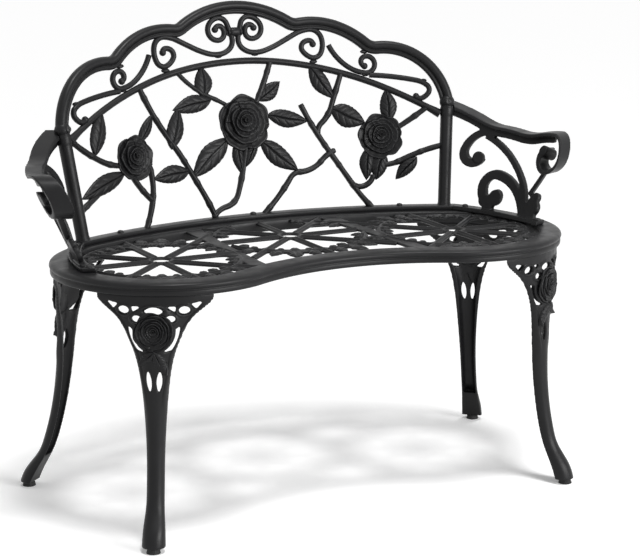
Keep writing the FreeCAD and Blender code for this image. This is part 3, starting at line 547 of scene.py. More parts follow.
@dataclass(frozen=True)
class CoatFinish:
    """A satin powder coat: soft orange peel, slight clouding, and sharp edges painted lighter as a painted
    highlight, which partly also stands for the thinner coat there.
    """

    name: str
    colour: Triple
    rough_low: float = 0.33
    rough_high: float = 0.46
    specular: float = 0.21
    peel_scale: float = 700.0
    peel_depth: float = 0.00006
    cloud_scale: float = 9.0
    # Lightening of the base colour on sharp edges: a painted highlight, partly also the thinner coat there
    edge_highlight_gain: float = 2.2
    cloud_dark: float = 0.78
    cloud_light: float = 1.22
    cloud_detail: float = 4.0
    rough_scale: float = 55.0
    rough_detail: float = 3.0
    peel_detail: float = 2.0
    peel_strength: float = 0.6
    # Parts of the noise and of the pointiness that are spread over the whole range
    noise_span: Pair = (0.3, 0.7)
    edge_highlight_span: Pair = (0.52, 0.62)

    def tint(self, gain: float) -> Triple:
        """The coat's colour, lighter or darker."""
        return tuple(gain * part for part in self.colour)

    def material(self) -> bpy.types.Material:
        """Build the coat's node material.

        Returns:
            The material.
        """
        material = bpy.data.materials.new(self.name)
        material.use_nodes = True
        nodes, links = material.node_tree.nodes, material.node_tree.links
        shader = nodes["Principled BSDF"]
        shader.inputs["Specular IOR Level"].default_value = self.specular
        place = nodes.new("ShaderNodeTexCoord").outputs["Object"]

        def noise(scale: float, detail: float) -> Socket:
            """A noise pattern on the piece's own coordinates.

            Args:
                scale: Cells to the metre.
                detail: Layers of finer noise.

            Returns:
                The pattern.
            """
            node = nodes.new("ShaderNodeTexNoise")
            node.inputs["Scale"].default_value = scale
            node.inputs["Detail"].default_value = detail
            links.new(place, node.inputs["Vector"])
            return node.outputs["Fac"]

        def ranged(source: Socket, span: Pair, target: Pair = (0.0, 1.0)) -> Socket:
            """A value moved from one range to another.

            Args:
                source: The value.
                span: The range that it leaves.
                target: The range that it takes.

            Returns:
                The moved value.
            """
            node = nodes.new("ShaderNodeMapRange")
            for key, value in zip(("From Min", "From Max", "To Min", "To Max"), span + target):
                node.inputs[key].default_value = value
            links.new(source, node.inputs["Value"])
            return node.outputs["Result"]

        def blend(share: Socket, low: Socket | Triple, high: Triple) -> Socket:
            """A colour between two.

            Args:
                share: How far the colour lies from the low one to the high one.
                low: A colour, or a node's colour.
                high: A colour.

            Returns:
                The blended colour.
            """
            node = nodes.new("ShaderNodeMix")
            node.data_type = "RGBA"
            links.new(share, node.inputs["Factor"])
            if isinstance(low, tuple):
                node.inputs["A"].default_value = (*low, 1)
            else:
                links.new(low, node.inputs["A"])
            node.inputs["B"].default_value = (*high, 1)
            return node.outputs["Result"]

        cloud = ranged(noise(self.cloud_scale, self.cloud_detail), self.noise_span)
        clouds = blend(cloud, self.tint(self.cloud_dark), self.tint(self.cloud_light))
        # Painted highlight: sharp edges, found by their pointiness, are painted lighter; partly this also
        # stands for the thinner coat there
        edges = ranged(nodes.new("ShaderNodeNewGeometry").outputs["Pointiness"], self.edge_highlight_span)
        links.new(blend(edges, clouds, self.tint(self.edge_highlight_gain)), shader.inputs["Base Color"])
        rough = noise(self.rough_scale, self.rough_detail)
        rough = ranged(rough, self.noise_span, (self.rough_low, self.rough_high))
        links.new(rough, shader.inputs["Roughness"])
        bump = nodes.new("ShaderNodeBump")
        bump.inputs["Strength"].default_value = self.peel_strength
        bump.inputs["Distance"].default_value = self.peel_depth
        links.new(noise(self.peel_scale, self.peel_detail), bump.inputs["Height"])
        links.new(bump.outputs["Normal"], shader.inputs["Normal"])
        return material


@dataclass(frozen=True)
class SteelFinish:
    """Bright turned steel with fine rings round the stud."""

    name: str
    colour: Triple
    ring_scale: float = 1500.0
    ring_waver: float = 1.5
    ring_dark: float = 0.75
    rough_low: float = 0.25
    rough_high: float = 0.4

    def material(self) -> bpy.types.Material:
        """Build the steel's node material.

        Returns:
            The material.
        """
        material = bpy.data.materials.new(self.name)
        material.use_nodes = True
        nodes, links = material.node_tree.nodes, material.node_tree.links
        shader = nodes["Principled BSDF"]
        shader.inputs["Metallic"].default_value = 1.0
        place = nodes.new("ShaderNodeTexCoord").outputs["Object"]
        rings = nodes.new("ShaderNodeTexWave")
        rings.bands_direction = "Z"
        rings.inputs["Scale"].default_value = self.ring_scale
        rings.inputs["Distortion"].default_value = self.ring_waver
        links.new(place, rings.inputs["Vector"])
        ramp = nodes.new("ShaderNodeValToRGB")
        ramp.color_ramp.elements[0].color = (*[self.ring_dark * part for part in self.colour], 1)
        ramp.color_ramp.elements[1].color = (*self.colour, 1)
        links.new(rings.outputs["Fac"], ramp.inputs["Fac"])
        links.new(ramp.outputs["Color"], shader.inputs["Base Color"])
        rough = nodes.new("ShaderNodeMapRange")
        rough.inputs["To Min"].default_value = self.rough_low
        rough.inputs["To Max"].default_value = self.rough_high
        links.new(rings.outputs["Fac"], rough.inputs["Value"])
        links.new(rough.outputs["Result"], shader.inputs["Roughness"])
        return material


# Every coat below paints its sharp edges lighter, a painted highlight
CASTING = CoatFinish("black_casting_coat", (0.0070, 0.0070, 0.0076))
BOLT = CoatFinish("black_bolt_coat", (0.009, 0.009, 0.0095), 0.28, 0.4, 0.28, 1100.0, 0.00003)
PLASTIC = CoatFinish("pad_plastic_grain", (0.012, 0.012, 0.012), 0.55, 0.75, 0.3, 1600.0, 0.00005, 20.0, 1.4)
STEEL = SteelFinish("stud_turned_steel", (0.55, 0.55, 0.56))


# Relief that several castings share


@dataclass(frozen=True)
class Rose:
    """A rose of nested petals, facing +Z from its own origin."""

    radius: float
    height: float = 0.27
    turn: float = 0.0
    dip: float = 0.04
    rise: float = 0.09
    # Tiers from the outside in: petals, rim radius, rim height, half span in degrees, turn in degrees
    tiers: tuple[tuple[int, float, float, float, float], ...] = (
        (5, 1.0, 0.20, 50.0, 0.0),
        (5, 0.78, 0.46, 54.0, 34.0),
        (3, 0.56, 0.72, 84.0, 8.0),
        (3, 0.40, 0.88, 86.0, 64.0),
        (2, 0.25, 0.98, 124.0, 10.0),
        (1, 0.11, 1.0, 178.0, 60.0),
    )
    columns: int = 240
    rim_fall: float = 0.24
    rim_ripple: Pair = (0.026, 0.016)
    petal_tilt: float = 0.13
    heart_dip: float = 0.02
    lip_roll: float = 0.04
    lip_swell: float = 0.022
    petal_fold: float = 0.005
    # Rings behind the petals, as (share of the outer rim, height), and places on a petal from the rim inwards
    rear: Pairs = ((0.30, -0.10), (0.86, -0.08), (0.97, -0.03))
    places: tuple[float, ...] = (1.0, 0.96, 0.88, 0.78, 0.64, 0.48, 0.3, 0.12, 0.03)

    def tier_line(self, tier: tuple[int, float, float, float, float], angles: Array) -> tuple[Array, Array]:
        """Rim radius and height of one tier at every angle.

        Args:
            tier: Petal count, rim radius, rim height, half span and turn.
            angles: Angles in degrees.

        Returns:
            The radius and the height, as shares of the rose's radius and height.
        """
        count, rim, height, span, turn = tier
        best_radius = np.zeros_like(angles)
        best_height = np.full_like(angles, -1.0)
        for index in range(count):
            middle = self.turn + turn + index * 360.0 / count
            share = (np.mod(angles - middle + 180, 360) - 180) / span
            inside = np.abs(share) <= 1
            broad, fine = self.rim_ripple
            ripple = broad * np.sin(4.2 * share + 1.7 * index) + fine * np.sin(9.0 * share + index)
            radius = rim * (1 - self.rim_fall * np.abs(share) ** 2.6 + ripple)
            level = height + self.petal_tilt * share * (1 - 0.3 * rim)
            best_radius = np.where(inside, np.maximum(best_radius, radius), best_radius)
            best_height = np.where(inside, np.maximum(best_height, level), best_height)
        return best_radius, best_height

    def shell(self) -> Shell:
        """Build the rose's skin, closed behind.

        Returns:
            The skin.
        """
        angles = np.arange(self.columns) * 360.0 / self.columns
        lines = [self.tier_line(tier, angles) for tier in self.tiers]
        around = np.stack([np.cos(np.radians(angles)), np.sin(np.radians(angles))], axis=1)
        rows = []

        def ring(radius: Array, height: Array) -> None:
            """Add a ring of points.

            Args:
                radius: Distance from the middle at every angle, as a share of the rose's radius.
                height: Height at every angle, as such a share.
            """
            flat = around * (radius * self.radius)[:, None]
            flat[:, 1] += self.rise * self.radius * (1 - radius)
            rows.append(np.column_stack([flat, height * self.radius]))

        outer = lines[0][0]
        for share, height in self.rear:
            ring(outer * share, np.full_like(outer, height))
        for index, (rim, height) in enumerate(lines):
            heart = index + 1 == len(lines)
            inner = np.zeros_like(rim) if heart else lines[index + 1][0]
            dip = self.heart_dip if heart else self.dip
            lift = height * self.height
            for share in self.places:
                radius = inner + (rim - inner) * share
                roll = -self.lip_roll * max(0.0, (share - 0.88) / 0.12) ** 2
                lip = self.lip_swell * math.sin(math.pi * min(1.0, max(0.0, (share - 0.5) / 0.5)))
                fold = self.petal_fold * np.sin(np.radians(angles) * 17 + 2.1 * index)
                fold = fold * share * (1 - share) * 4
                ring(radius, lift + roll + lip - dip * (1 - share) ** 1.4 + fold)
        return Shell(np.array(rows))


@dataclass(frozen=True)
class Leaf:
    """A cast leaf with full halves, a midrib and side veins, along +X and facing +Z."""

    length: float = 60.0
    width: float = 30.0
    edge: float = 1.4
    full: float = 7.8
    back: float = -3.0
    veins: float = 5.0
    teeth: float = 9.0
    bite: float = 0.07
    columns: int = 33
    least: float = 1.2
    sway: float = 0.05
    rib_depth: float = 2.6
    rib_width: float = 0.09
    vein_depth: float = 1.15
    vein_width: float = 0.10
    vein_slant: float = 0.24
    vein_shift: float = 0.05
    # Powers of the outline, along the leaf and of its width, and of the swelling across each half
    outline: Pair = (0.86, 0.82)
    swelling: Pair = (2.6, 0.7)

    def shell(self) -> Shell:
        """Build the leaf's closed skin.

        Returns:
            The skin.
        """
        rows = max(40, int(self.length * 0.9))
        share = np.linspace(0.0, 1.0, rows)[:, None]
        across = np.linspace(-1.0, 1.0, self.columns)[None, :]
        out = np.abs(across)
        body = np.sin(math.pi * share ** self.outline[0]) ** self.outline[1]
        tooth = 1 + self.bite * (np.abs(np.mod(share * self.teeth, 1.0) - 0.3) - 0.3) * body
        half = 0.5 * self.width * np.maximum(body * tooth, 0.05)
        wave = self.sway * self.width * np.sin(2.2 * math.pi * share + 0.6)
        swell = np.clip(1 - out ** self.swelling[0], 0, 1) ** self.swelling[1]
        rise = self.edge + (self.full - self.edge) * swell * (0.35 + 0.65 * body)
        rib = np.exp(-((across / self.rib_width) ** 2))
        slant = share - self.vein_slant * out + self.vein_shift * np.sign(across)
        vein = np.mod(slant * self.veins, 1.0) - 0.5
        groove = np.exp(-((vein / self.vein_width) ** 2)) * smooth_step(out, 0.06, 0.2) * (1 - out ** 4)
        relief = (-self.rib_depth * rib - self.vein_depth * groove) * (0.3 + 0.7 * body)
        top = np.maximum(self.back + rise + relief, self.back + self.least)
        x_top = self.length * share + 0.0 * across
        y_top = half * across + wave * (1 - share)
        front = np.stack([x_top, y_top, top], axis=-1)
        under = front[:, ::-1].copy()
        under[..., 2] = self.back + 0.5 * out[:, ::-1] ** 2
        return Shell(np.concatenate([front, under], axis=1))


def ball(centre: Array, radius: float, rows: int = 10, columns: int = 16) -> Shell:
    """A round knob of metal.

    Args:
        centre: Its middle.
        radius: Its radius.
        rows: Rings from pole to pole.
        columns: Points of a ring.

    Returns:
        The knob.
    """
    pole = 0.02
    tilt = np.linspace(pole, math.pi - pole, rows)[:, None]
    turn = turns(columns)[None, :]
    x, y = np.sin(tilt) * np.cos(turn), np.sin(tilt) * np.sin(turn)
    return Shell(centre + radius * np.stack([x, y, np.cos(tilt) + 0 * turn], axis=-1))


def lathe(rings: list[tuple[float | Array, float]], count: int) -> Shell:
    """A turned shape about the z axis.

    Args:
        rings: Radius, for the whole ring or for each point, and height of every ring.
        count: Points of a ring.

    Returns:
        The shape.
    """
    around = circle_profile(1.0, count)
    rows = []
    for radius, height in rings:
        size = np.broadcast_to(radius, count)[:, None]
        rows.append(np.column_stack([around * size, np.full(count, height)]))
    return Shell(np.array(rows))


# Seat


@dataclass
class SeatPlan:
    """The seat's outline: two round ends, a hollowed front edge and a long back arc."""

    top: float = 444.0
    lobe_x: float = 281.0
    lobe_radius: float = 201.5
    front_edge: float = 127.0
    back_edge: float = 254.5
    back_radius: float = 860.0

    def outline(self, step: float = 4.0) -> tuple[Array, Array]:
        """The closed outline.

        Args:
            step: The distance between samples.

        Returns:
            Plan points and the directions out of the seat.
        """
        lobe = np.array([self.lobe_x, 0.0])
        hollow = (self.lobe_x ** 2 + self.front_edge ** 2 - self.lobe_radius ** 2)
        hollow /= 2 * (self.lobe_radius - self.front_edge)
        front = np.array([0.0, -self.front_edge - hollow])
        back = np.array([0.0, self.back_edge - self.back_radius])
        reach = np.linalg.norm(lobe - back) + self.lobe_radius
        joint = math.atan2(*(front - lobe)[::-1])
        corner = math.atan2(*(lobe - back)[::-1])
        points, normals = [], []

        def arc(centre: Array, radius: float, first: float, last: float, sign: float) -> None:
            """Add an arc, its end left to the next.

            Args:
                centre: Centre of the arc.
                radius: Its radius.
                first: Angle at its start, in radians.
                last: Angle at its end.
                sign: 1 if the seat lies inside the arc, -1 if outside.
            """
            count = max(8, int(abs(last - first) * radius / step))
            angle = np.linspace(first, last, count, endpoint=False)
            out = np.stack([np.cos(angle), np.sin(angle)], axis=1)
            points.append(centre + radius * out)
            normals.append(sign * out)

        mirror = np.array([-1.0, 1.0])
        arc(lobe, self.lobe_radius, joint, corner, 1)
        arc(back, reach, corner, math.pi - corner, 1)
        arc(lobe * mirror, self.lobe_radius, math.pi - corner, math.pi - joint, 1)
        start = math.atan2(*(lobe * mirror - front)[::-1])
        arc(front, hollow, start, math.pi - start, -1)
        return np.vstack(points), np.vstack(normals)


@dataclass
class SeatRim:
    """The seat's rim: a rounded bead over a groove and a lower band."""

    plan: SeatPlan
    # Section as (inset from the outline, height from the seat's top)
    section: Pairs = (
        (41.2, -3.2), (40.4, -1.2), (38.6, -0.5), (33.0, -0.2), (14.0, 0.0), (8.0, -0.2), (5.0, -0.8),
        (2.6, -1.9), (0.9, -3.6), (0.1, -5.6), (0.0, -7.4), (0.5, -8.9), (1.5, -9.8), (2.7, -10.3),
        (3.0, -11.4), (2.9, -12.5), (2.2, -13.2), (1.6, -14.2), (1.5, -17.5), (1.6, -20.2), (2.1, -21.3),
        (3.2, -21.9), (5.0, -22.0), (37.0, -22.0), (40.5, -21.8), (41.6, -20.6), (42.0, -19.0), (42.0, -8.0),
    )

    def build(self) -> None:
        """Sweep the section round the outline."""
        points, normals = self.plan.outline()
        section = np.array(self.section)
        flat = points[:, None] - normals[:, None] * section[None, :, :1]
        height = np.broadcast_to(self.plan.top + section[None, :, 1:], flat.shape[:2] + (1,))
        bead = Shell(np.concatenate([flat, height], axis=-1), looped=True)
        dress("seat_rim_bead", bead.mesh("seat_rim_bead"), ["seat_rim"], crease=50.0)


@dataclass
class SeatWheel:
    """One wheel of the seat's lattice, with ridged spokes, a hub bead and leaf sprays."""

    name: str
    node: str
    centre: Pair
    side: int
    top: float = 440.0
    thick: float = 5.5
    radius: float = 142.0
    ring: float = 11.0
    hub_radius: float = 28.0
    hub_bore: float = 14.0
    spokes: int = 8
    spoke_half: float = 7.0
    spray_length: float = 27.0
    spray_width: float = 19.0
    spray_spread: float = 11.0
    corner_length: float = 46.0
    corner_gain: float = 1.5
    divider: tuple[Pair, Pair] = ((160.0, -130.0), (138.5, 216.0))
    divider_half: float = 15.0
    # Half width of the divider as a share: at its waist, and what it gains at its ends
    divider_taper: Pair = (0.8, 0.35)
    # Leaves of a spray: turn in shares of the spread, and size
    spray: Pairs = ((0.0, 1.0), (1.0, 0.8), (-1.0, 0.8))
    # Turn of a leaf's tip against its base, inside the ring and outside
    leans: Pair = (1.05, 1.3)
    leaf_drop: float = 1.0
    leaf_thick: float = 0.75
    berry: Triple = (4.4, 5.2, 3.2)
    # Height of the hub's ring as a share of its width
    hub_flat: float = 0.28
    # Bead on the hub's ring: radius, height as a share of its width, and distance of its middle below the top
    bead: Triple = (4.0, 0.55, 1.4)
    # Web at the outer end of a spoke: length, half width gained at the ring, half width at the tip, hollow
    web: tuple[float, float, float, float] = (40.0, 24.0, 5.5, 2.4)
    ring_step: float = 3.0
    spoke_reach: float = 230.0
    skin: Skin = (1.2, 2)

    def at(self, radius: float, degrees: float, height: float = 0.0) -> Array:
        """A point by its distance from the hub's middle, its angle and its height above the lattice's top."""
        x, y, angle = *self.centre, math.radians(degrees)
        return np.array([x + radius * math.cos(angle), y + radius * math.sin(angle), self.top + height])

    def circle(self, radius: float, bead: float, squash: float, height: float) -> Array:
        """A round bead that runs round the hub.

        Args:
            radius: Distance from the hub's middle.
            bead: Radius of the bead.
            squash: Its height as a share of its width.
            height: Height above the lattice's top.

        Returns:
            The bead's sheet of points.
        """
        turn = np.linspace(0, 360, 97)[:-1]
        knots = np.array([self.at(radius, angle, height) for angle in turn])
        ahead = np.roll(knots, -1, axis=0) - np.roll(knots, 1, axis=0)
        return Path(knots, unit(ahead)).sweep(UP, circle_profile(bead) * np.array([1.0, squash]))

    def hub(self) -> Mesh:
        """The ring round the hub's hole, with a raised bead.

        Returns:
            The mesh.
        """
        middle = 0.5 * (self.hub_radius + self.hub_bore)
        size, squash, drop = self.bead
        ring = self.circle(middle, self.hub_radius - middle, self.hub_flat, -0.5 * self.thick)
        shell = Shell(ring, looped=True)
        shell.sheet(self.circle(middle, size, squash, -drop), looped=True)
        return shell.mesh(f"{self.name}_hub")

    @staticmethod
    def bar_blank() -> Mesh:
        """A flat bar with a raised ridge, of unit length along x, unit half width and unit height.

        Returns:
            The mesh.
        """
        half = [(0.9, -1.0), (1.0, -0.9), (1.0, -0.3), (0.8, -0.15), (0.42, 0.0), (0.3, 0.36)]
        section = np.array([(-0.9, -1.0), *half, (0.0, 0.46), *[(-x, height) for x, height in half[:0:-1]]])
        ends = np.linspace(0, 1, 5)
        rows = [np.column_stack([np.full(len(section), share), section]) for share in ends]
        return Shell(np.stack(rows)).blank("bar_blank")

    def web_blank(self) -> Mesh:
        """A three-cornered web with hollow sides, its broad end at the origin, along x, of unit height below.

        Returns:
            The mesh.
        """
        length, gain, tip, hollow = self.web
        share = np.linspace(0, 1, 12)[:, None]
        half = gain * (1 - share) ** hollow + tip
        across = np.array([-1.0, 1.0, 1.0, -1.0])
        level = np.array([-1.0, -1.0, -0.15, -0.15])
        rows = np.stack([length * share + 0 * across, half * across, 0 * share + level], axis=-1)
        return Shell(rows).blank("web_blank")

    def divider_mesh(self) -> Mesh:
        """The flat bar between two wheels, which tapers to a waist at its middle.

        Returns:
            The mesh.
        """
        first, last = (np.array([self.side * x, y, self.top]) for x, y in self.divider)
        path = Path.through(np.array([first, last]), 8.0)
        share = path.lengths() / path.lengths()[-1]
        waist, gain = self.divider_taper
        half = self.divider_half * (waist + gain * np.abs(2 * share - 1) ** 2)
        low = 1 - self.thick
        rows = [[(-w, low), (w, low), (w, -0.6), (w - 1.2, 0.2), (1.2 - w, 0.2), (-w, -0.6)] for w in half]
        side = np.cross(UP, unit(last - first))
        section = np.array(rows)
        shell = Shell(path.points[:, None] + section[..., :1] * side + section[..., 1:] * UP)
        return shell.mesh(f"{self.name}_divider")

    def carried(self, point: Array, surface: BVHTree) -> bool:
        """Whether a surface lies under a point at the height of the seat.

        Args:
            point: The point.
            surface: The surface.

        Returns:
            True if it does.
        """
        above, reach, slack = 30.0, 0.06, 3.0
        place = Vector(to_frame(point + above * UP).tolist())
        hit = surface.ray_cast(place, Vector((0, 0, -1)), reach)
        return hit[0] is not None and hit[0].z > (self.top - slack) * MM

    def leaf_run(
        self, direction: Pair, share: float, below: BVHTree, around: BVHTree
    ) -> tuple[Array, Array] | None:
        """Base and tip of a leaf that grows from the ring.

        Args:
            direction: Angle at the base, and angle at the tip.
            share: Size of the leaf; it grows outwards to the next bar if negative.
            below: The wheel's own surface, which must carry the leaf.
            around: The surface of the whole seat.

        Returns:
            Base and tip, or None where there is no room for the leaf.
        """
        start, least, step, bite = 4.0, 16.0, 2.0, 3.0
        middle = self.radius - 0.5 * self.ring
        base = self.at(middle, direction[0], -self.leaf_drop)
        if not self.carried(base, below):
            return None
        if share > 0:
            tip = self.at(middle - share * self.spray_length, direction[1], -self.leaf_drop)
            return (base, tip) if self.carried(0.5 * (base + tip), below) else None
        for reach in np.arange(self.radius + start, middle - share * self.corner_length, step):
            if self.carried(self.at(reach, direction[1]), around):
                break
        if reach < self.radius + least:
            return None
        return base, self.at(reach + bite, direction[1], -self.leaf_drop)

    def seat_spokes(self, bars: Scatter, webs: Scatter, below: BVHTree) -> None:
        """Set the spokes, their webs at the ring, and the ring itself.

        Args:
            bars: Takes the spokes and the ring's short bars.
            webs: Takes the webs.
            below: The wheel's own surface in the CAD.
        """
        root_bite, tip_bite, lap = 5.0, 6.0, 1.1
        middle = self.radius - 0.5 * self.ring
        for angle in 90 + np.arange(self.spokes) * (360.0 / self.spokes):
            tries = np.arange(self.hub_radius, self.spoke_reach, 3.0)
            reach = [radius for radius in tries if self.carried(self.at(radius, angle), below)]
            root = self.at(self.hub_radius - root_bite, angle)
            run = self.at(reach[-1] + tip_bite, angle) - root
            bars.seat(root, run, UP, (np.linalg.norm(run), self.spoke_half, self.thick))
            foot = self.at(middle, angle)
            if self.carried(foot, below):
                webs.seat(foot, self.at(0, angle) - foot, UP, (1.0, 1.0, self.thick))
        for turn in np.arange(0.0, 360.0, self.ring_step):
            first, last = self.at(middle, turn), self.at(middle, turn + lap * self.ring_step)
            if self.carried(first, below) and self.carried(last, below):
                run = last - first
                bars.seat(first, run, UP, (np.linalg.norm(run), 0.5 * self.ring, self.thick))

    def seat_sprays(self, leaves: Scatter, berries: Scatter, below: BVHTree, around: BVHTree) -> None:
        """Set the leaf sprays between the spokes, inside the ring and outside.

        Args:
            leaves: Takes the leaves.
            berries: Takes the bud at each leaf's base.
            below: The wheel's own surface in the CAD.
            around: The surface of the whole seat in the CAD.
        """
        pitch = 360.0 / self.spokes
        for index in range(self.spokes):
            angle = 90 + (index + 0.5) * pitch
            for sign, lean, gain in ((1, self.leans[0], 1.0), (-1, self.leans[1], self.corner_gain)):
                for turn, share in self.spray:
                    spread = turn * self.spray_spread
                    run = self.leaf_run((angle + spread, angle + lean * spread), sign * share, below, around)
                    if run is None:
                        continue
                    base, way = run[0], run[1] - run[0]
                    width = share * self.spray_width / Leaf.width * gain
                    leaves.seat(base, way, UP, (np.linalg.norm(way) / Leaf.length, width, self.leaf_thick))
                    bud = base + (0.5 * self.ring + 1.0) * unit(way)
                    berries.seat(bud, way, UP, np.array(self.berry) * share)

    def parts(self, below: BVHTree, around: BVHTree) -> list[Mesh]:
        """Spokes, rings, webs, leaves and berries of the lattice.

        Args:
            below: The wheel's own surface in the CAD, which must carry each piece.
            around: The surface of the whole seat in the CAD.

        Returns:
            The overlapping meshes.
        """
        words = ("bars", "webs", "leaves", "berries")
        bars, webs, leaves, berries = (Scatter(f"{self.name}_{word}") for word in words)
        self.seat_spokes(bars, webs, below)
        self.seat_sprays(leaves, berries, below, around)
        blade = Leaf(bite=0.35, teeth=4.0, full=7.6, veins=4.0).shell()
        bud = ball(np.zeros(3), 1.0)
        meshes = [self.hub(), bars.mesh(self.bar_blank()), webs.mesh(self.web_blank())]
        meshes += [leaves.mesh(blade.blank("spray_blank")), berries.mesh(bud.blank("berry_blank"))]
        return meshes + ([self.divider_mesh()] if self.side else [])

    def build(self) -> None:
        """Fuse the lattice into one casting."""
        wheels = [f"seat_wheel_{word}" for word in ("left", "centre", "right")]
        parts = self.parts(surface_tree(self.node), surface_tree("seat_rim", *wheels))
        dress(self.name, cast_skin(self.name, parts, *self.skin), [self.node], NO_CREASE)


# Back


@dataclass
class BackSurface:
    """The reclined, curved surface that every piece of the back lies on."""

    seat_top: float = SeatPlan.top
    edge: float = SeatPlan.back_edge
    radius: float = SeatPlan.back_radius
    recline: float = 12.1

    def lean(self) -> float:
        """Setback of the back per unit of height."""
        return math.tan(math.radians(self.recline))

    def normal(self, x: Array | float) -> Array:
        """Direction towards the sitter.

        Args:
            x: Distances from the middle.

        Returns:
            The direction at every distance.
        """
        x = np.asarray(x, float)
        slope = -x / np.sqrt(self.radius ** 2 - x ** 2)
        return unit(np.stack([slope, -np.ones_like(x), np.full_like(x, self.lean())], axis=-1))

    def point(self, flat: object, forward: float = 0.0) -> Array:
        """Points laid on the back or in front of it.

        Args:
            flat: The points as (x, height above the seat).
            forward: Distance in front of the back's surface.

        Returns:
            The points in space.
        """
        flat = np.asarray(flat, float)
        x, height = flat[..., 0], flat[..., 1]
        sag = self.radius - np.sqrt(self.radius ** 2 - x ** 2)
        base = np.stack([x, self.edge - sag + height * self.lean(), self.seat_top + height], axis=-1)
        return base + forward * self.normal(x)

    def bar(self, flat: object, step: float = 2.0) -> Path:
        """A smooth line through (x, height) points of the back."""
        return Path.through(self.point(flat), step)

    def place(self, shell: Shell, root: Pair, tip: Pair, forward: float) -> Shell:
        """Lay a shell that is drawn along +X and faces +Z on the back.

        Args:
            shell: The shell.
            root: Where its own origin comes to lie.
            tip: A point that its x axis runs to.
            forward: Distance in front of the back's surface.

        Returns:
            The shell in its place.
        """
        first, last = self.point(root, forward), self.point(tip, forward)
        x_axis = unit(last - first)
        y_axis = unit(np.cross(self.normal(0.5 * (root[0] + tip[0])), x_axis))
        return shell.placed(first, x_axis, y_axis, np.cross(x_axis, y_axis))


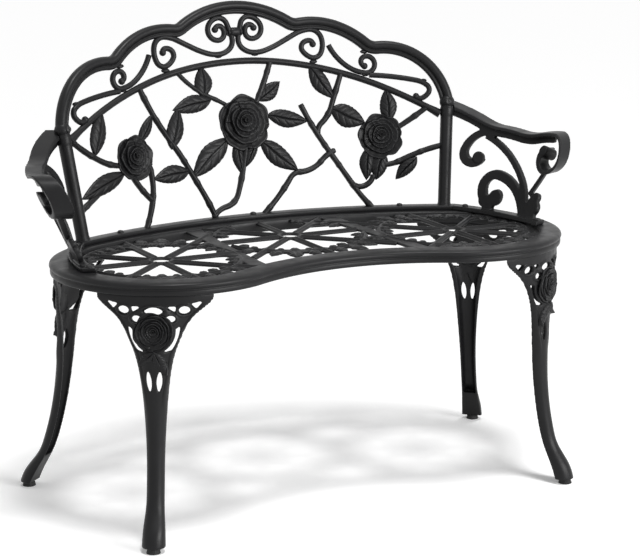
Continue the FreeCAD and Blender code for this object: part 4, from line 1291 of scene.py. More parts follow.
@dataclass
class BackHoop:
    """The lobed hoop of the back: a broad rounded rim and a narrow inner bead."""

    surface: BackSurface
    crown: float = 386.0
    notch_upper: Pair = (118.0, 348.0)
    lobe_upper: Pair = (194.0, 345.0)
    notch_lower: Pair = (262.0, 301.0)
    lobe_lower: Pair = (353.0, 278.0)
    shoulder: Pair = (390.0, 200.0)
    waist: Pair = (380.0, 165.0)
    foot: Pair = (368.0, 4.0)
    knob: float = 14.5
    post: float = 12.0
    notch_round: float = 30.0
    step: float = 3.0
    # Start, end and gain of the clamping band on a post, and length and gain of the post's toe
    band: tuple[Pair, Pair, float] = ((9.0, 11.0), (24.0, 27.0), 0.08)
    toe: Pair = (10.0, 0.12)
    # Front half of the section: (outwards, forwards)
    section: Pairs = (
        (12.5, 0.0), (12.3, 2.6), (11.4, 5.4), (9.8, 7.9), (7.4, 9.7), (4.4, 10.6), (1.4, 10.3),
        (-1.2, 9.2), (-3.2, 7.4), (-4.4, 5.7), (-5.2, 5.2), (-6.2, 5.6), (-7.6, 6.4), (-9.3, 6.3),
        (-11.0, 5.0), (-12.1, 2.8),
    )

    def knots(self) -> Array:
        """The right half of the centre line, from the crown to the foot.

        Returns:
            Points as (x, height above the seat).
        """
        top = self.circle(self.notch_upper, (0.0, self.crown), (-self.notch_upper[0], self.notch_upper[1]))
        upper = self.circle(self.notch_upper, self.lobe_upper, self.notch_lower)
        lower = self.circle(self.notch_lower, self.lobe_lower, self.shoulder)
        first, second = self.notch(top, upper), self.notch(upper, lower)
        crown = np.array([0.0, self.crown])
        rows = [crown, self.between(top, crown, first[0]), *first, self.between(upper, first[2], second[0])]
        rows += [*second, self.between(lower, second[2], np.array(self.shoulder))]
        return np.array(rows + [self.shoulder, self.waist, self.foot])

    @staticmethod
    def circle(first: Pair, second: Pair, third: Pair) -> tuple[Array, float]:
        """The circle through three points.

        Args:
            first: A point.
            second: A point.
            third: A point.

        Returns:
            Centre and radius.
        """
        origin, a, b = np.array(first), np.subtract(second, first), np.subtract(third, first)
        twice = 2 * (a[0] * b[1] - a[1] * b[0])
        offset = np.array([b[1] * (a @ a) - a[1] * (b @ b), a[0] * (b @ b) - b[0] * (a @ a)]) / twice
        return origin + offset, float(np.linalg.norm(offset))

    @staticmethod
    def between(lobe: tuple[Array, float], first: Array, last: Array) -> Array:
        """The point half way along a lobe between two of its points."""
        centre, radius = lobe
        return centre + unit(first + last - 2 * centre) * radius

    def notch(self, lobe: tuple[Array, float], following: tuple[Array, float]) -> list[Array]:
        """The rounded notch between two lobes.

        Args:
            lobe: Centre and radius of the first lobe.
            following: Centre and radius of the next.

        Returns:
            Start, middle and end of the notch.
        """
        reach_a, reach_b = lobe[1] + self.notch_round, following[1] + self.notch_round
        gap = following[0] - lobe[0]
        span = np.linalg.norm(gap)
        along = (reach_a ** 2 - reach_b ** 2 + span ** 2) / (2 * span)
        out = np.array([-gap[1], gap[0]]) / span * math.sqrt(reach_a ** 2 - along ** 2)
        base = lobe[0] + gap / span * along
        pivot = max(base + out, base - out, key=np.linalg.norm)
        start = pivot + unit(lobe[0] - pivot) * self.notch_round
        end = pivot + unit(following[0] - pivot) * self.notch_round
        middle = pivot + unit(start + end - 2 * pivot) * self.notch_round
        return [start, middle, end]

    def path(self) -> Path:
        """The whole centre line, from the left foot over the crown to the right foot.

        Returns:
            The line.
        """
        half = Path.through(self.surface.point(self.knots()), self.step, np.array([1.0, 0, 0]))
        flip = np.array([-1.0, 1.0, 1.0])
        points = np.vstack([(half.points * flip)[:0:-1], half.points])
        return Path(points, np.vstack([-(half.tangents * flip)[:0:-1], half.tangents]))

    def build(self) -> None:
        """Sweep the moulded section along the lobes and a round one down the posts."""
        path = self.path()
        level = self.surface.seat_top + self.shoulder[1]
        upper = np.flatnonzero(path.points[:, 2] >= level)
        first, last = int(upper[0]), int(upper[-1])
        front = np.array(self.section)
        rear = front[:0:-1] * np.array([1.0, -1.0])
        profile = np.vstack([front, [(-self.section[0][0], 0.0)], rear])
        lobes = Path(path.points[first:last + 1], path.tangents[first:last + 1])
        shell = Shell(lobes.sweep(self.surface.normal(lobes.points[:, 0]), profile))
        for side, top in ((Side.LEFT, path.points[first]), (Side.RIGHT, path.points[last])):
            foot = self.surface.point((side.value * self.foot[0], self.foot[1]))
            shell.add(self.post_shell(Path.through(np.array([top, foot]), self.step)))
        dress("back_hoop_moulding", shell.mesh("back_hoop_moulding"), ["back_hoop"], crease=60.0)
        self.build_bolts()

    def post_shell(self, path: Path) -> Shell:
        """A straight round post with a knob and a clamping band at its joint with the hoop.

        Args:
            path: The post's centre line, from the joint to the foot.

        Returns:
            The post.
        """
        length = path.lengths()
        start, end, gain = self.band
        band = smooth_step(length, *start) - smooth_step(length, *end)
        toe = smooth_step(length, length[-1] - self.toe[0], length[-1])
        scale = 1 + gain * band + self.toe[1] * toe
        shell = Shell(path.sweep(np.array([0, -1.0, 0]), circle_profile(self.post, 24), scale))
        shell.add(ball(path.points[0], self.knob, 14, 24))
        return shell

    def build_bolts(self) -> None:
        """The bolt that faces the sitter on each shoulder."""
        row = Scatter("shoulder_bolts", Slot.BOLT)
        for side in Side:
            x = side.value * self.shoulder[0]
            place = self.surface.point((x, self.shoulder[1]), self.knob - 1.0)
            row.seat(place, np.array([1.0, 0, 0.2]), self.surface.normal(x), np.ones(3))
        dress("shoulder_bolts", row.mesh(Bolts.blank()), [], crease=35.0, slot=Slot.BOLT)


@dataclass
class BackScrolls:
    """The mid rail, the scrollwork above it and the collar that clasps it."""

    surface: BackSurface
    rail_radius: float = 6.0
    rail_crown: float = 287.5
    rail_plan: float = 700.0
    rail_reach: float = 376.0
    scroll_radius: float = 5.2
    scroll_depth: float = 1.06
    scroll_step: float = 1.6
    rail_square: float = 0.05
    knob: float = 1.25
    collar_radius: float = 9.0
    collar_length: float = 30.0
    collar_height: float = 341.0
    # Places where a scroll is cast to its neighbour: (x, height)
    webs: Pairs = (
        (36.0, 372.0), (38.0, 299.0), (128.0, 341.5), (152.0, 280.0), (249.0, 253.5), (250.0, 296.0),
        (352.0, 240.0),
    )
    web_size: Triple = (8.5, 4.2, 3.2)
    # Swelling of the rail at the posts: where it starts and ends, and its gain
    rail_swell: Triple = (350.0, 378.0, 0.35)
    # One half of the collar's outline: place along it and radius, as shares
    collar_half: Pairs = (
        (0.0, 1.0), (0.4, 0.97), (0.6, 0.88), (0.66, 0.74), (0.74, 0.82), (0.84, 0.86), (0.93, 0.78),
        (0.99, 0.55), (1.0, 0.30),
    )

    def rail_height(self, x: Array) -> Array:
        """Height of the mid rail's centre line."""
        return self.rail_crown - self.rail_plan + np.sqrt(self.rail_plan ** 2 - x ** 2)

    @staticmethod
    def spiral(centre: Pair, radii: Pair, angles: Pair, step: float = 60.0) -> list[Pair]:
        """Points of a spiral whose radius changes evenly with the angle.

        Args:
            centre: Its middle.
            radii: Radius at its start and end.
            angles: Angle in degrees at its start and end.
            step: Largest angle between points.

        Returns:
            The points.
        """
        count = max(2, math.ceil(abs(angles[1] - angles[0]) / step))
        share = np.arange(count + 1) / count
        angle = np.radians(angles[0] + (angles[1] - angles[0]) * share)
        radius = radii[0] + (radii[1] - radii[0]) * share
        return list(zip(centre[0] + radius * np.cos(angle), centre[1] + radius * np.sin(angle)))

    def lines(self) -> list[list[Pair]]:
        """Centre lines of the right-hand scrolls.

        Returns:
            Each line's points as (x, height above the seat).
        """
        s_line = self.spiral((34, 344), (6.5, 24), (30, 450))
        s_line += [(14, 356), (8, 338), (6, 326), (14, 310), (35, 302), (60, 305), (90, 317), (120, 332)]
        s_line += self.spiral((148, 309), (31, 7), (90, -330))
        c_line = [(184, 310), (194, 292), (218, 268)] + self.spiral((252, 275), (19, 7), (-100, 240))
        d_line = [(256, 252), (300, 248), (340, 241), (358, 232), (359, 217), (348, 208), (337, 211)]
        return [s_line, c_line, d_line]

    def build_rail(self) -> None:
        """The arched mid rail, slightly flattened, swelling where it meets the posts."""
        x = np.linspace(-self.rail_reach, self.rail_reach, 9)
        path = self.surface.bar(np.stack([x, self.rail_height(x)], axis=1), 3.0)
        start, end, gain = self.rail_swell
        swell = 1 + gain * smooth_step(np.abs(path.points[:, 0]), start, end)
        count = 20
        bulge = 1 + self.rail_square * np.cos(4 * turns(count))
        profile = circle_profile(self.rail_radius, count) * bulge[:, None]
        shell = Shell(path.sweep(self.surface.normal(path.points[:, 0]), profile, swell))
        dress("back_rail_bar", shell.mesh("back_rail_bar"), ["back_rail"])

    def build_scrolls(self, side: Side) -> None:
        """The scrollwork of one side, with rounded ends and cast webs.

        Args:
            side: The side.
        """
        shell = Shell()
        flip = np.array([side.value, 1.0])
        lines = [np.array(line) * flip for line in self.lines()]
        profile = circle_profile(self.scroll_radius, 18) * np.array([1.0, self.scroll_depth])
        for flat in lines:
            path = self.surface.bar(flat, self.scroll_step)
            shell.sheet(path.sweep(self.surface.normal(path.points[:, 0]), profile))
            shell.add(ball(self.surface.point(flat[-1]), self.knob * self.scroll_radius))
        shell.add(ball(self.surface.point(lines[0][0]), self.knob * self.scroll_radius))
        for web in self.webs:
            shell.add(self.web(np.array(web) * flip))
        word = side.name.lower()
        dress(f"scroll_{word}_bars", shell.mesh(f"scroll_{word}_bars"), [f"scroll_{word}"])

    def web(self, flat: Array) -> Shell:
        """A small fillet of metal where a scroll touches its neighbour.

        Args:
            flat: Its place as (x, height above the seat).

        Returns:
            The fillet.
        """
        broad, high, deep = self.web_size
        normal = self.surface.normal(flat[0])
        across = np.array([1.0, 0, 0])
        upwards = unit(np.cross(normal, across))
        blob = ball(np.zeros(3), 1.0, 8, 14)
        return blob.placed(self.surface.point(flat), across * broad, upwards * high, normal * deep)

    def build_collar(self) -> None:
        """The barrel with domed ends and a bead at each end."""
        half = np.array(self.collar_half)
        share, size = np.vstack([half[:0:-1] * np.array([-1.0, 1.0]), half]).T
        turn = turns(32)
        around = np.stack([np.zeros_like(turn), np.cos(turn), np.sin(turn)], axis=1)
        middle = self.surface.point((0.0, self.collar_height))
        rows = middle + around[None] * (size * self.collar_radius)[:, None, None]
        rows[..., 0] += (share * 0.5 * self.collar_length)[:, None]
        dress("scroll_collar_barrel", Shell(rows).mesh("scroll_collar_barrel"), ["scroll_collar"])

    def build(self) -> None:
        """Build the rail, both scrolls and the collar."""
        self.build_rail()
        self.build_collar()
        for side in Side:
            self.build_scrolls(side)


@dataclass
class BackFlange:
    """The flat arc bar that bolts the back to the seat."""

    surface: BackSurface
    front: float = 16.0
    rear: float = 8.0
    thick: float = 8.0
    half_span: float = 384.0
    # Eased edges as (inwards, away from the face): underneath, and on top behind and in front
    ease_under: Pair = (0.3, 0.6)
    ease_rear: Pairs = ((0.0, 1.5), (0.4, 0.5), (1.4, 0.05))
    ease_front: Pairs = ((1.6, 0.05), (0.5, 0.5), (0.0, 1.6))

    def build(self) -> None:
        """Sweep a bar with eased edges along the back's arc."""
        radius = self.surface.radius
        half = math.asin(self.half_span / radius)
        angle = np.linspace(math.pi / 2 + half, math.pi / 2 - half, 220)
        out = np.stack([np.cos(angle), np.sin(angle)], axis=1)
        near, far, (inwards, up) = -self.front, self.rear, self.ease_under
        section = [(near + inwards, 0.0), (far - inwards, 0.0), (far, up)]
        section += [(far - aside, self.thick - down) for aside, down in self.ease_rear]
        section += [(near + aside, self.thick - down) for aside, down in self.ease_front]
        section = np.array(section + [(near, up)])
        flat = (radius + section[None, :, :1]) * out[:, None]
        flat = flat + np.array([0.0, self.surface.edge - radius])
        height = np.broadcast_to(self.surface.seat_top + section[None, :, 1:], flat.shape[:2] + (1,))
        shell = Shell(np.concatenate([flat, height], axis=-1))
        dress("back_flange_bar", shell.mesh("back_flange_bar"), ["back_flange"], crease=50.0)


@dataclass
class RoseVines:
    """The rose vines between the mid rail and the seat."""

    surface: BackSurface
    vine: float = 5.4
    twig: float = 4.2
    leaf_front: float = 1.8
    leaf_gain: float = 1.12
    rose_front: float = 4.5
    rose_drop: float = 3.5
    bloom: float = 1.16
    floor: float = 4.0
    # Knots of a stem: distance apart, gain and half length
    knots: Triple = (47.0, 0.16, 4.5)
    # Ripple of a stem: gain and length; and facets of its section: count and gain
    ripple: Pair = (0.04, 9.0)
    facets: tuple[int, float] = (5, 0.05)
    # Easing of a stem's cut ends: loss and length
    ends: Pair = (0.25, 1.2)
    # Middle and radius of every rose
    roses: dict[str, Triple] = field(default_factory=lambda: {
        "rose_left": (-240.0, 135.0, 36.0),
        "rose_centre": (0.0, 177.0, 46.0),
        "rose_right": (265.0, 140.0, 38.0),
    })

    def plan(self) -> dict[str, tuple[list, list]]:
        """What every vine is made of.

        Returns:
            Stems as (radius, points) and leaves as (root, tip, width), by the name of the vine.
        """
        vine, twig = self.vine, self.twig
        return {
            "vine_left_upper": (
                [(vine, ((-381, 186), (-337, 151), (-310, 135), (-265, 122)))],
                [((-322, 146), (-300, 225), 32), ((-222, 157), (-190, 205), 20)],
            ),
            "vine_left_lower": (
                [(vine, ((-212, 130), (-203, 92), (-207, 50), (-226, -4))),
                 (vine, ((-252, 115), (-230, 78), (-206, 52))),
                 (vine, ((-322, 80), (-342, 69), (-372, 50)))],
                [((-262, 110), (-362, 76), 30)],
            ),
            "vine_left_trunk": (
                [(vine, ((-214, 258), (-188, 204), (-155, 152), (-125, 105), (-100, 60), (-74, -4)))],
                [((-122, 98), (-200, 90), 30), ((-154, 138), (-132, 212), 32)],
            ),
            "vine_centre_upper": (
                [(twig, ((-132, 280), (-92, 242), (-60, 224), (-24, 204))),
                 (vine, ((68, 288), (50, 246), (28, 205)))],
                [((-62, 222), (-145, 208), 30), ((-74, 226), (-76, 282), 34), ((36, 212), (82, 246), 28)],
            ),
            "vine_centre_lower": (
                [(vine, ((2, 140), (-9, 90), (-24, 46), (-50, 25), (-80, 8)))],
                [((-36, 150), (-116, 84), 38), ((-20, 142), (-12, 80), 22), ((22, 142), (-2, 94), 20)],
            ),
            "vine_right_trunk": (
                [(vine, ((119, 202), (150, 140), (165, 115), (205, 50), (239, -4))),
                 (vine, ((205, 262), (190, 225), (178, 195), (156, 165), (148, 146))),
                 (vine, ((246, 66), (228, 46), (206, 48)))],
                [((142, 270), (184, 210), 30), ((176, 190), (240, 162), 38), ((240, 118), (232, 56), 26)],
            ),
            "vine_right_branch": (
                [(vine, ((24, -4), (55, 32), (85, 67), (105, 77), (150, 96), (178, 114)))],
                [((50, 184), (130, 170), 30), ((30, 138), (102, 80), 34)],
            ),
            "vine_right_side": (
                [(vine, ((290, 148), (322, 168), (356, 192))),
                 (vine, ((378, 120), (330, 105), (300, 92), (262, 84)))],
                [((286, 164), (284, 226), 30), ((328, 98), (286, 56), 24), ((266, 108), (250, 56), 30)],
            ),
        }

    def stem(self, radius: float, flat: Pairs, phase: float) -> Shell:
        """A knobbly round stem with cut ends.

        Args:
            radius: Radius of the stem.
            flat: Its points as (x, height above the seat).
            phase: Shifts its knots.

        Returns:
            The stem.
        """
        path = self.surface.bar([(x, max(height, self.floor)) for x, height in flat], 2.0)
        length = path.lengths()
        pitch, gain, half = self.knots
        loss, fade = self.ends
        knot = np.abs(np.mod(length + 23.0 * phase, pitch) - 0.5 * pitch)
        swell = 1 + gain * np.exp(-((knot / half) ** 2))
        swell = swell + self.ripple[0] * np.sin(length / self.ripple[1] + phase)
        swell = swell - loss * np.exp(-length / fade) - loss * np.exp(-(length[-1] - length) / fade)
        count = 18
        facet = 1 + self.facets[1] * np.cos(self.facets[0] * turns(count) + phase)
        profile = circle_profile(radius, count) * facet[:, None]
        return Shell(path.sweep(self.surface.normal(path.points[:, 0]), profile, swell))

    def build_vines(self) -> None:
        """Every vine with its stems and leaves."""
        for name, (stems, leaves) in self.plan().items():
            shell = Shell()
            for index, (radius, flat) in enumerate(stems):
                shell.add(self.stem(radius, flat, 1.3 * index + 0.01 * flat[0][0]))
            growth = Scatter(f"{name}_leaves")
            for root, tip, width in leaves:
                first = self.surface.point(root, self.leaf_front)
                run = self.surface.point(tip, self.leaf_front) - first
                facing = self.surface.normal(0.5 * (root[0] + tip[0]))
                size = (np.linalg.norm(run) / Leaf.length, self.leaf_gain * width / Leaf.width, 1.0)
                growth.seat(first, run, facing, size)
            parts = [shell.mesh(name), growth.mesh(Leaf().shell().blank("leaf_blank"))]
            dress(f"{name}_growth", joined(f"{name}_growth", parts), [name], crease=50.0)

    def build_roses(self) -> None:
        """The three roses."""
        for index, (name, (x, height, radius)) in enumerate(self.roses.items()):
            bloom = Rose(self.bloom * radius, turn=17.0 * index).shell()
            level = height - self.rose_drop
            shell = self.surface.place(bloom, (x, level), (x + 1.0, level), self.rose_front)
            dress(f"{name}_bloom", shell.mesh(f"{name}_bloom"), [name], crease=60.0)

    def build(self) -> None:
        """Build the vines, then the roses."""
        self.build_vines()
        self.build_roses()


# Arms, legs and feet


@dataclass
class Arm:
    """One arm casting, its edges softened as cast, with round bulbs on its scrolls."""

    side: Side
    post: Pair = (396.25, 202.2)
    top_end: Pair = (503.5, -47.3)
    base_start: Pair = (382.8, 156.2)
    base_end: Pair = (441.5, -57.5)
    seat_top: float = SeatPlan.top
    bow_height: float = 160.0
    base_bow: float = 14.0
    top_bow: float = 40.0
    # Bulbs: distance from the post, height above the seat, radius and thickness
    bulbs: tuple[tuple[float, float, float, float], ...] = (
        (66.0, 98.0, 12.0, 10.0), (221.0, 123.0, 11.0, 28.0), (108.0, 15.0, 13.0, 9.4),
        (98.0, 22.0, 12.5, 9.4), (222.0, 43.0, 10.0, 9.4), (221.0, 25.0, 15.0, 9.4),
    )
    bulb_edge: float = 1.2
    skin: Skin = (1.3, 3)

    def sheet_point(self, along: float, height: float) -> Array:
        """A point of the bowed sheet of the right arm.

        Args:
            along: Distance from the post.
            height: Height above the seat.

        Returns:
            The point.
        """
        share = height / self.bow_height
        top_start, top_end = np.array(self.post), np.array(self.top_end)
        start = np.array(self.base_start) * (1 - share) + top_start * share
        chord = np.array(self.base_end) * (1 - share) + top_end * share - start
        outward = unit(np.array([-chord[1], chord[0]]))
        bow = self.base_bow + (self.top_bow - self.base_bow) * share
        run = np.linspace(-0.1, 1.1, 241)[:, None]
        flat = start + run * chord + 4 * bow * run * (1 - run) * outward
        nearest = np.argmin(np.abs((flat - top_start) @ unit(top_end - top_start) - along))
        return np.array([*flat[nearest], self.seat_top + height])

    def bulb(self, along: float, height: float, radius: float, thick: float) -> Shell:
        """A round boss with eased edges, across the arm's sheet.

        Args:
            along: Distance of its middle from the post.
            height: Height of its middle above the seat.
            radius: Its radius.
            thick: Its thickness.

        Returns:
            The boss.
        """
        aside = 4.0
        mirror = np.array([self.side.value, 1.0, 1.0])
        place = self.sheet_point(along, height) * mirror
        x_axis = unit(self.sheet_point(along + aside, height) * mirror - place)
        rise = self.sheet_point(along, height + aside) * mirror - place
        z_axis = unit(np.cross(x_axis, rise))
        half, edge = 0.5 * thick, self.bulb_edge
        rings = [(0.2 * radius, -half), (radius - edge, -half), (radius, edge - half)]
        rings += [(radius, half - edge), (radius - edge, half), (0.2 * radius, half)]
        return lathe(rings, 32).placed(place, x_axis, np.cross(z_axis, x_axis), z_axis)

    def build(self) -> None:
        """Skin the arm and its bulbs."""
        node = f"arm_{self.side.name.lower()}"
        bulbs = Shell()
        for row in self.bulbs:
            bulbs.add(self.bulb(*row))
        parts = [node_copy(node), bulbs.mesh(f"{node}_bulbs")]
        dress(f"{node}_casting", cast_skin(f"{node}_casting", parts, *self.skin), [node], NO_CREASE)


# Petal tiers of the tight rose on a leg, as in Rose
LEG_ROSE_TIERS = (
    (4, 1.0, 0.20, 62.0, 0.0), (3, 0.85, 0.38, 80.0, 30.0), (3, 0.70, 0.56, 84.0, 75.0),
    (3, 0.56, 0.70, 84.0, 20.0), (2, 0.43, 0.82, 120.0, 60.0), (2, 0.31, 0.92, 120.0, 110.0),
    (2, 0.19, 0.98, 120.0, 20.0), (1, 0.08, 1.0, 178.0, 0.0),
)


@dataclass
class Leg:
    """One cabriole leg, with raised rims round its openings and a rose over them."""

    side: Side
    end: End
    plan: SeatPlan
    inset: float = 8.0
    rim_bottom: float = 422.0
    rose_drop: float = 60.0
    rose_radius: float = 33.0
    rose_seat: float = 8.0
    border: float = 9.0
    border_lift: float = 3.4
    # Drops over which the raised sides start and end
    border_start: Pair = (10.0, 24.0)
    border_end: Pair = (150.0, 200.0)
    # Half width of the leg at drops below the rim
    widths: Pairs = (
        (0.0, 97.0), (12.0, 95.0), (33.0, 70.0), (60.0, 50.0), (100.0, 34.0), (168.0, 22.0), (240.0, 16.0),
    )
    # Oval openings of the lattice: (across, drop, half width, half height)
    ovals: tuple[tuple[float, float, float, float], ...] = (
        (50.0, 25.0, 9.0, 6.5), (-50.0, 25.0, 9.0, 6.5), (28.0, 38.5, 7.5, 5.5), (-28.0, 38.5, 7.5, 5.5),
        (0.0, 26.0, 16.0, 6.5),
    )
    # Leaves under the rose: (across at the tip, drop at the tip, width)
    leaves: tuple[Triple, ...] = ((-24.0, 116.0, 17.0), (22.0, 132.0, 19.0))
    leaf_drop: float = 92.0
    # How far the leaves' roots and tips lie out from the rose's back
    leaf_out: Pair = (4.5, -5.0)
    # Height and breadth of the rim round an opening
    oval_rim: Pair = (3.0, 4.8)
    # Distance of the face under the rose behind the rose's back, and share of the rose that covers it
    rose_bed: float = 3.0
    rose_cover: float = 0.97
    rose_gain: float = 1.04
    # Gain in width and thickness of the leaves under the rose
    leaf_size: Pair = (1.1, 0.8)
    skin: Skin = (1.4, 3)

    def axes(self) -> tuple[Array, Array, Array]:
        """Place of the leg's own drawing.

        Returns:
            Crest of the leg's top, and the directions across and outwards.
        """
        angle = math.radians(180 + self.end.value[0])
        sign = self.side.value
        across = np.array([sign * math.cos(angle), math.sin(angle), 0.0])
        out = np.array([-sign * math.sin(angle), math.cos(angle), 0.0])
        crest = np.array([sign * self.plan.lobe_x, 0.0, 0.0]) + out * (self.plan.lobe_radius - self.inset)
        return crest, across, out

    def relief(self, x: Array, drop: Array) -> Array:
        """Height of the raised rims round the openings and along both sides.

        Args:
            x: Distance across the leg of every point.
            drop: Distance below the rim of every point.

        Returns:
            The lift of every point.
        """
        half = np.interp(drop, *np.array(self.widths).T)
        inside = half - np.abs(x)
        lift = self.border_lift * np.sin(math.pi * np.clip(inside / self.border, 0, 1)) ** 0.8
        lift *= smooth_step(drop, *self.border_start) * (1 - smooth_step(drop, *self.border_end))
        for ox, oy, half_x, half_y in self.ovals:
            gap = (np.hypot((x - ox) / half_x, (drop - oy) / half_y) - 1) * min(half_x, half_y)
            high, broad = self.oval_rim
            lift = np.maximum(lift, high * np.sin(math.pi * np.clip(gap / broad, 0, 1)))
        return lift

    def build(self) -> None:
        """Skin the leg, raise its rims and set its rose."""
        name = f"leg_{self.end.name.lower()}_{self.side.name.lower()}"
        mesh = cast_skin(f"{name}_casting", [node_copy(name)], *self.skin)
        crest, across, out = self.axes()
        points = from_frame(vector_rows(mesh.vertices, "co"))
        normals = vector_rows(mesh.vertex_normals, "vector")
        local = points - crest
        x, y, drop = local @ across, local @ out, self.rim_bottom - points[:, 2]
        seat = self.rose_seat + self.end.value[1] * self.rose_drop
        bed = seat - self.rose_bed
        near_rose = np.hypot(x, drop - self.rose_drop)
        lift = self.relief(x, drop) * smooth_step(normals @ out, 0.1, 0.5)
        lift *= smooth_step(near_rose, self.rose_radius - 3, self.rose_radius + 1)
        under = (near_rose < self.rose_radius * self.rose_cover) & (y > bed)
        push = np.where(under, np.minimum(0.0, bed - y), 0.0)
        moved = points + out * (lift + push)[:, None]
        mesh.vertices.foreach_set("co", to_frame(moved).ravel())
        mesh.update()
        dress(f"{name}_casting", mesh, [name], NO_CREASE)
        self.build_rose(name, seat)

    def build_rose(self, name: str, seat: float) -> None:
        """The rose of the knee, ringed by close petals, and the two leaves under it.

        Args:
            name: Name of the leg.
            seat: Distance of the rose's back out from the crest of the leg's top.
        """
        crest, across, out = self.axes()
        radius = self.rose_gain * self.rose_radius
        rose = Rose(radius, height=0.26, turn=25.0, dip=0.035, tiers=LEG_ROSE_TIERS).shell()
        centre = crest + out * (seat - 1.0) + UP * (self.rim_bottom - self.rose_drop)
        shell = rose.placed(centre, np.cross(UP, out), UP, out)
        growth = Scatter(f"{name}_leaves")
        for tip_x, tip_drop, width in self.leaves:
            root_rake = self.end.value[1] * (self.leaf_drop - self.rose_drop)
            tip_rake = self.end.value[1] * (tip_drop - self.rose_drop)
            root_out, tip_out = self.leaf_out
            first = crest + out * (seat + root_out + root_rake) + UP * (self.rim_bottom - self.leaf_drop)
            last = crest + out * (seat + tip_out + tip_rake) + UP * (self.rim_bottom - tip_drop)
            last = last + across * tip_x
            gain, thick = self.leaf_size
            size = (np.linalg.norm(last - first) / Leaf.length, gain * width / Leaf.width, thick)
            growth.seat(first, last - first, out, size)
        blade = Leaf(veins=7.0, teeth=6.0, bite=0.25).shell().blank("leg_leaf_blank")
        dress(f"{name}_rose", joined(f"{name}_rose", [shell.mesh(name), growth.mesh(blade)]), [], crease=60.0)


@dataclass
class LevellingFoot:
    """A threaded stud and a fluted pad under a leg."""

    side: Side
    end: End
    pad_height: float = 8.5
    stud_radius: float = 4.0
    stud_length: float = 20.0
    pitch: float = 1.25
    flutes: int = 18
    flute_depth: float = 0.035
    bore_gap: float = 0.3
    # Rings of the pad's fluted side and of its plain foot: radius and height
    side_rings: Pairs = ((10.1, 8.1), (10.5, 7.2), (11.5, 2.2))
    foot_rings: Pairs = ((12.0, 1.2), (11.8, 0.3), (11.2, 0.0), (6.0, 0.0), (0.5, 0.0))

    def build(self) -> None:
        """Build the pad and the stud on their own bodies."""
        word = f"{self.end.name.lower()}_{self.side.name.lower()}"
        low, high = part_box(f"pad_{word}")
        centre = from_frame(np.array([0.5 * (low[0] + high[0]), 0.5 * (low[1] + high[1]), 0.0]))
        self.build_pad(word, centre)
        self.build_stud(word, centre)

    def build_pad(self, word: str, centre: Array) -> None:
        """A round pad with a fluted side and a hole for the stud.

        Args:
            word: The foot's corner of the bench.
            centre: Middle of its underside.
        """
        count = self.flutes * 8
        flute = 1 - self.flute_depth * np.abs(np.sin(0.5 * self.flutes * turns(count)))
        bore, top = self.stud_radius + self.bore_gap, self.pad_height
        rings = [(bore, 4.3), (bore, top - 0.3), (bore + 0.5, top), (9.4, top)]
        rings += [(radius * flute, height) for radius, height in self.side_rings] + list(self.foot_rings)
        shell = lathe(rings, count).placed(centre, *np.eye(3))
        name = f"pad_{word}"
        mesh = shell.mesh(f"{name}_moulding")
        dress(f"{name}_moulding", mesh, [name], crease=35.0, slot=Slot.PLASTIC, body=f"foot_{name}")

    def build_stud(self, word: str, centre: Array) -> None:
        """A stud whose thread runs up to a chamfered end.

        Args:
            word: The foot's corner of the bench.
            centre: Middle of the pad's underside.
        """
        ease, depth, chamfer = (-0.2, 1.2), 0.55, 0.6
        height = np.arange(0.0, self.stud_length + 0.01, self.pitch / 8)[:, None]
        turn = turns(24)[None, :]
        phase = np.mod(height / self.pitch - turn / (2 * math.pi), 1.0)
        ends = np.minimum(smooth_step(height, *ease), smooth_step(self.stud_length - height, *ease))
        radius = self.stud_radius - 0.06 - depth * np.abs(2 * phase - 1) * ends - chamfer * (1 - ends)
        level = 0.5 * self.pad_height + height + 0 * turn
        shell = Shell(centre + np.stack([radius * np.cos(turn), radius * np.sin(turn), level], axis=-1))
        name = f"stud_{word}"
        mesh = shell.mesh(f"{name}_thread")
        dress(f"{name}_thread", mesh, [name], crease=50.0, slot=Slot.STEEL, body=f"foot_{name}")


# Bolts


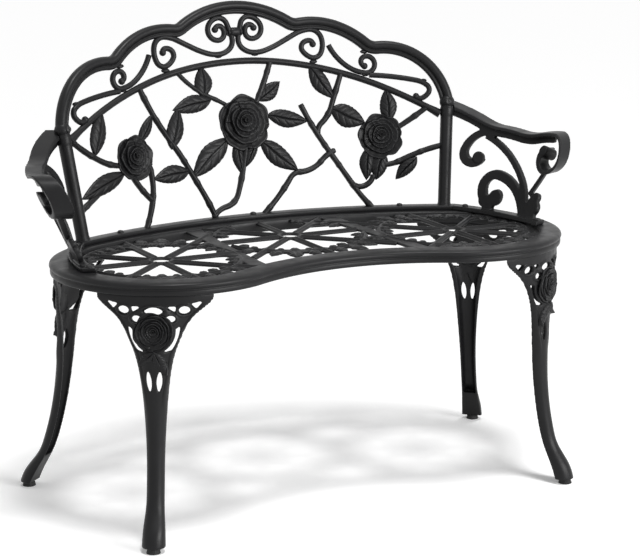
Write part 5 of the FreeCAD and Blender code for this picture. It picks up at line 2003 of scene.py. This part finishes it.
@dataclass
class Bolts:
    """Dome-headed bolts of one row, set on the places of the CAD bolts."""

    node: str
    upwards: bool
    head_height: float = 4.0
    # Rings of a bolt as (radius, height): the six-sided socket, the domed head and the shank
    socket: Pairs = ((1e-3, 2.2), (2.4, 2.2), (2.4, 3.85))
    dome: Pairs = (
        (2.7, 4.0), (3.6, 3.85), (4.6, 3.3), (5.4, 2.3), (5.85, 1.2), (6.0, 0.5), (5.9, 0.0),
    )
    shank: Pairs = ((3.0, 0.0), (3.0, -15.0), (2.2, -16.0))

    @classmethod
    def blank(cls) -> Mesh:
        """One bolt with its head's seat at the origin and its head up.

        Returns:
            The mesh.
        """
        count = 36
        six = np.cos(math.pi / 6) / np.cos(np.mod(turns(count), math.pi / 3) - math.pi / 6)
        rings = [(radius * six, height) for radius, height in cls.socket]
        return lathe([*rings, *cls.dome, *cls.shank], count).blank("bolt_blank")

    def places(self) -> Array:
        """Seats of the heads, found from the loose shells of the CAD bolts.

        Returns:
            The seats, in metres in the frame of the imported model.
        """
        work = bmesh.new()
        work.from_mesh(node_copy(self.node))
        seen, seats = set(), []
        for seed in work.verts:
            if seed.index in seen:
                continue
            stack, group = [seed], []
            seen.add(seed.index)
            while stack:
                vertex = stack.pop()
                group.append(vertex.co.copy())
                for edge in vertex.link_edges:
                    other = edge.other_vert(vertex)
                    if other.index not in seen:
                        seen.add(other.index)
                        stack.append(other)
            cloud = np.array(group)
            low, high = cloud.min(axis=0), cloud.max(axis=0)
            height = high[2] - self.head_height * MM if self.upwards else low[2] + self.head_height * MM
            seats.append((0.5 * (low[0] + high[0]), 0.5 * (low[1] + high[1]), height))
        work.free()
        return np.array(seats)

    def build(self) -> None:
        """Set a bolt on every seat."""
        row = Scatter(f"{self.node}_heads", Slot.BOLT)
        up = UP if self.upwards else -UP
        for place in from_frame(self.places()):
            row.seat(place, np.array([1.0, 0, 0]), up, np.ones(3))
        dress(f"{self.node}_heads", row.mesh(self.blank()), [self.node], crease=35.0, slot=Slot.BOLT)


# Stage


@dataclass
class Studio:
    """Pale floor, soft overhead light and the camera at the picture's angle."""

    camera_place: Triple = (-1.6541, -3.3195, 1.2057)
    camera_target: Triple = (0.0, -0.0856, 0.3843)
    lens: float = 118.58
    sensor: float = 36.0
    floor_size: float = 60.0
    floor_shade: float = 0.97
    floor_glow: float = 0.18
    ambient: float = 0.32
    # Overhead light: strength, breadth in degrees, and the way to it from the bench
    sun_strength: float = 1.6
    sun_breadth: float = 11.0
    sun_way: Triple = (0.05, -0.20, 1.0)
    sun_distance: float = 4.0
    # Softbox: place, size and power
    box_place: Triple = (1.55, -3.1, 1.35)
    box_size: Pair = (2.3, 1.5)
    box_power: float = 100.0
    # Height above the camera's target that the softbox faces
    box_aim: float = 0.2

    def build_world(self) -> None:
        """White to the camera and in reflections, a softer level for the light on the object."""
        world = bpy.data.worlds.new("studio")
        world.use_nodes = True
        shade = world.node_tree.nodes["Background"]
        shade.inputs["Color"].default_value = (1, 1, 1, 1)
        self.link_seen(world.node_tree, shade.inputs["Strength"], self.ambient, 1.0)
        bpy.context.scene.world = world

    @staticmethod
    def link_seen(tree: bpy.types.NodeTree, strength: Socket, plain: float, seen: float) -> None:
        """Give a shader one strength for the camera and reflections, and a plain one for other rays.

        Args:
            tree: The node tree that holds the shader.
            strength: The shader's strength socket.
            plain: Strength for other rays.
            seen: Strength for rays from the camera, and in gloss and glass.
        """
        rays = tree.nodes.new("ShaderNodeLightPath")
        share = rays.outputs["Is Camera Ray"]
        for name in ("Is Glossy Ray", "Is Transmission Ray"):
            either = tree.nodes.new("ShaderNodeMath")
            either.operation = "MAXIMUM"
            tree.links.new(share, either.inputs[0])
            tree.links.new(rays.outputs[name], either.inputs[1])
            share = either.outputs[0]
        level = tree.nodes.new("ShaderNodeMapRange")
        level.inputs["To Min"].default_value = plain
        level.inputs["To Max"].default_value = seen
        tree.links.new(share, level.inputs["Value"])
        tree.links.new(level.outputs["Result"], strength)

    def build_floor(self) -> None:
        """A large pale floor with a slight glow that only the camera and reflections see."""
        half = 0.5 * self.floor_size
        mesh = bpy.data.meshes.new("floor")
        corners = [(-half, -half, 0), (half, -half, 0), (half, half, 0), (-half, half, 0)]
        mesh.from_pydata(corners, [], [(0, 1, 2, 3)])
        material = bpy.data.materials.new("floor_white")
        material.use_nodes = True
        shader = material.node_tree.nodes["Principled BSDF"]
        shader.inputs["Base Color"].default_value = (*[self.floor_shade] * 3, 1)
        shader.inputs["Roughness"].default_value = 1.0
        shader.inputs["Specular IOR Level"].default_value = 0.0
        shader.inputs["Emission Color"].default_value = (1, 1, 1, 1)
        self.link_seen(material.node_tree, shader.inputs["Emission Strength"], 0.0, self.floor_glow)
        mesh.materials.append(material)
        floor = linked("floor", mesh)

    def build_lights(self) -> None:
        """A soft light from overhead, and a softbox in front of the back."""
        sun = bpy.data.lights.new("overhead", "SUN")
        sun.energy = self.sun_strength
        sun.angle = math.radians(self.sun_breadth)
        light = linked("overhead", sun)
        light.rotation_euler = Vector(self.sun_way).to_track_quat("Z", "Y").to_euler()
        light.location = tuple(self.sun_distance * part for part in self.sun_way)
        box = bpy.data.lights.new("softbox", "AREA")
        box.shape = "RECTANGLE"
        box.size, box.size_y = self.box_size
        box.energy = self.box_power
        screen = linked("softbox", box)
        screen.location = self.box_place
        aim = Vector(self.box_place) - Vector(self.camera_target) - Vector((0, 0, self.box_aim))
        screen.rotation_euler = aim.to_track_quat("Z", "Y").to_euler()

    def build_camera(self) -> None:
        """The camera, looking at the bench as the picture does."""
        data = bpy.data.cameras.new("picture")
        data.lens = self.lens
        data.sensor_width = self.sensor
        camera = linked("picture", data)
        camera.location = self.camera_place
        look = Vector(self.camera_target) - Vector(self.camera_place)
        camera.rotation_euler = look.to_track_quat("-Z", "Y").to_euler()
        bpy.context.scene.camera = camera

    def build(self) -> None:
        """Set up the stage."""
        bpy.context.scene.view_settings.view_transform = "Standard"
        self.build_world()
        self.build_floor()
        self.build_lights()
        self.build_camera()


PLAN = SeatPlan()
SHIFT_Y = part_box("seat_rim")[0][1] / MM + PLAN.lobe_radius
LOOKS = {
    Slot.CASTING: CASTING.material(),
    Slot.BOLT: BOLT.material(),
    Slot.PLASTIC: PLASTIC.material(),
    Slot.STEEL: STEEL.material(),
}


def main() -> None:
    """Build every sub-assembly in order."""
    logging.basicConfig(level=logging.INFO, format="%(name)s: %(message)s")
    Studio().build()
    SeatRim(PLAN).build()
    for name, node, centre, side in (
        ("seat_left_lattice", "seat_wheel_left", (-290.0, 6.0), -1),
        ("seat_middle_lattice", "seat_wheel_centre", (0.0, 95.0), 0),
        ("seat_right_lattice", "seat_wheel_right", (290.0, 6.0), 1),
    ):
        SeatWheel(name, node, centre, side).build()
    surface = BackSurface()
    BackFlange(surface).build()
    BackHoop(surface).build()
    BackScrolls(surface).build()
    RoseVines(surface).build()
    for side in Side:
        Arm(side).build()
        for end in End:
            Leg(side, end, PLAN).build()
            LevellingFoot(side, end).build()
    for node, upwards in (("back_bolts", True), ("arm_bolts", True), ("leg_bolts", False)):
        Bolts(node, upwards).build()


if __name__ == "__main__":
    main()
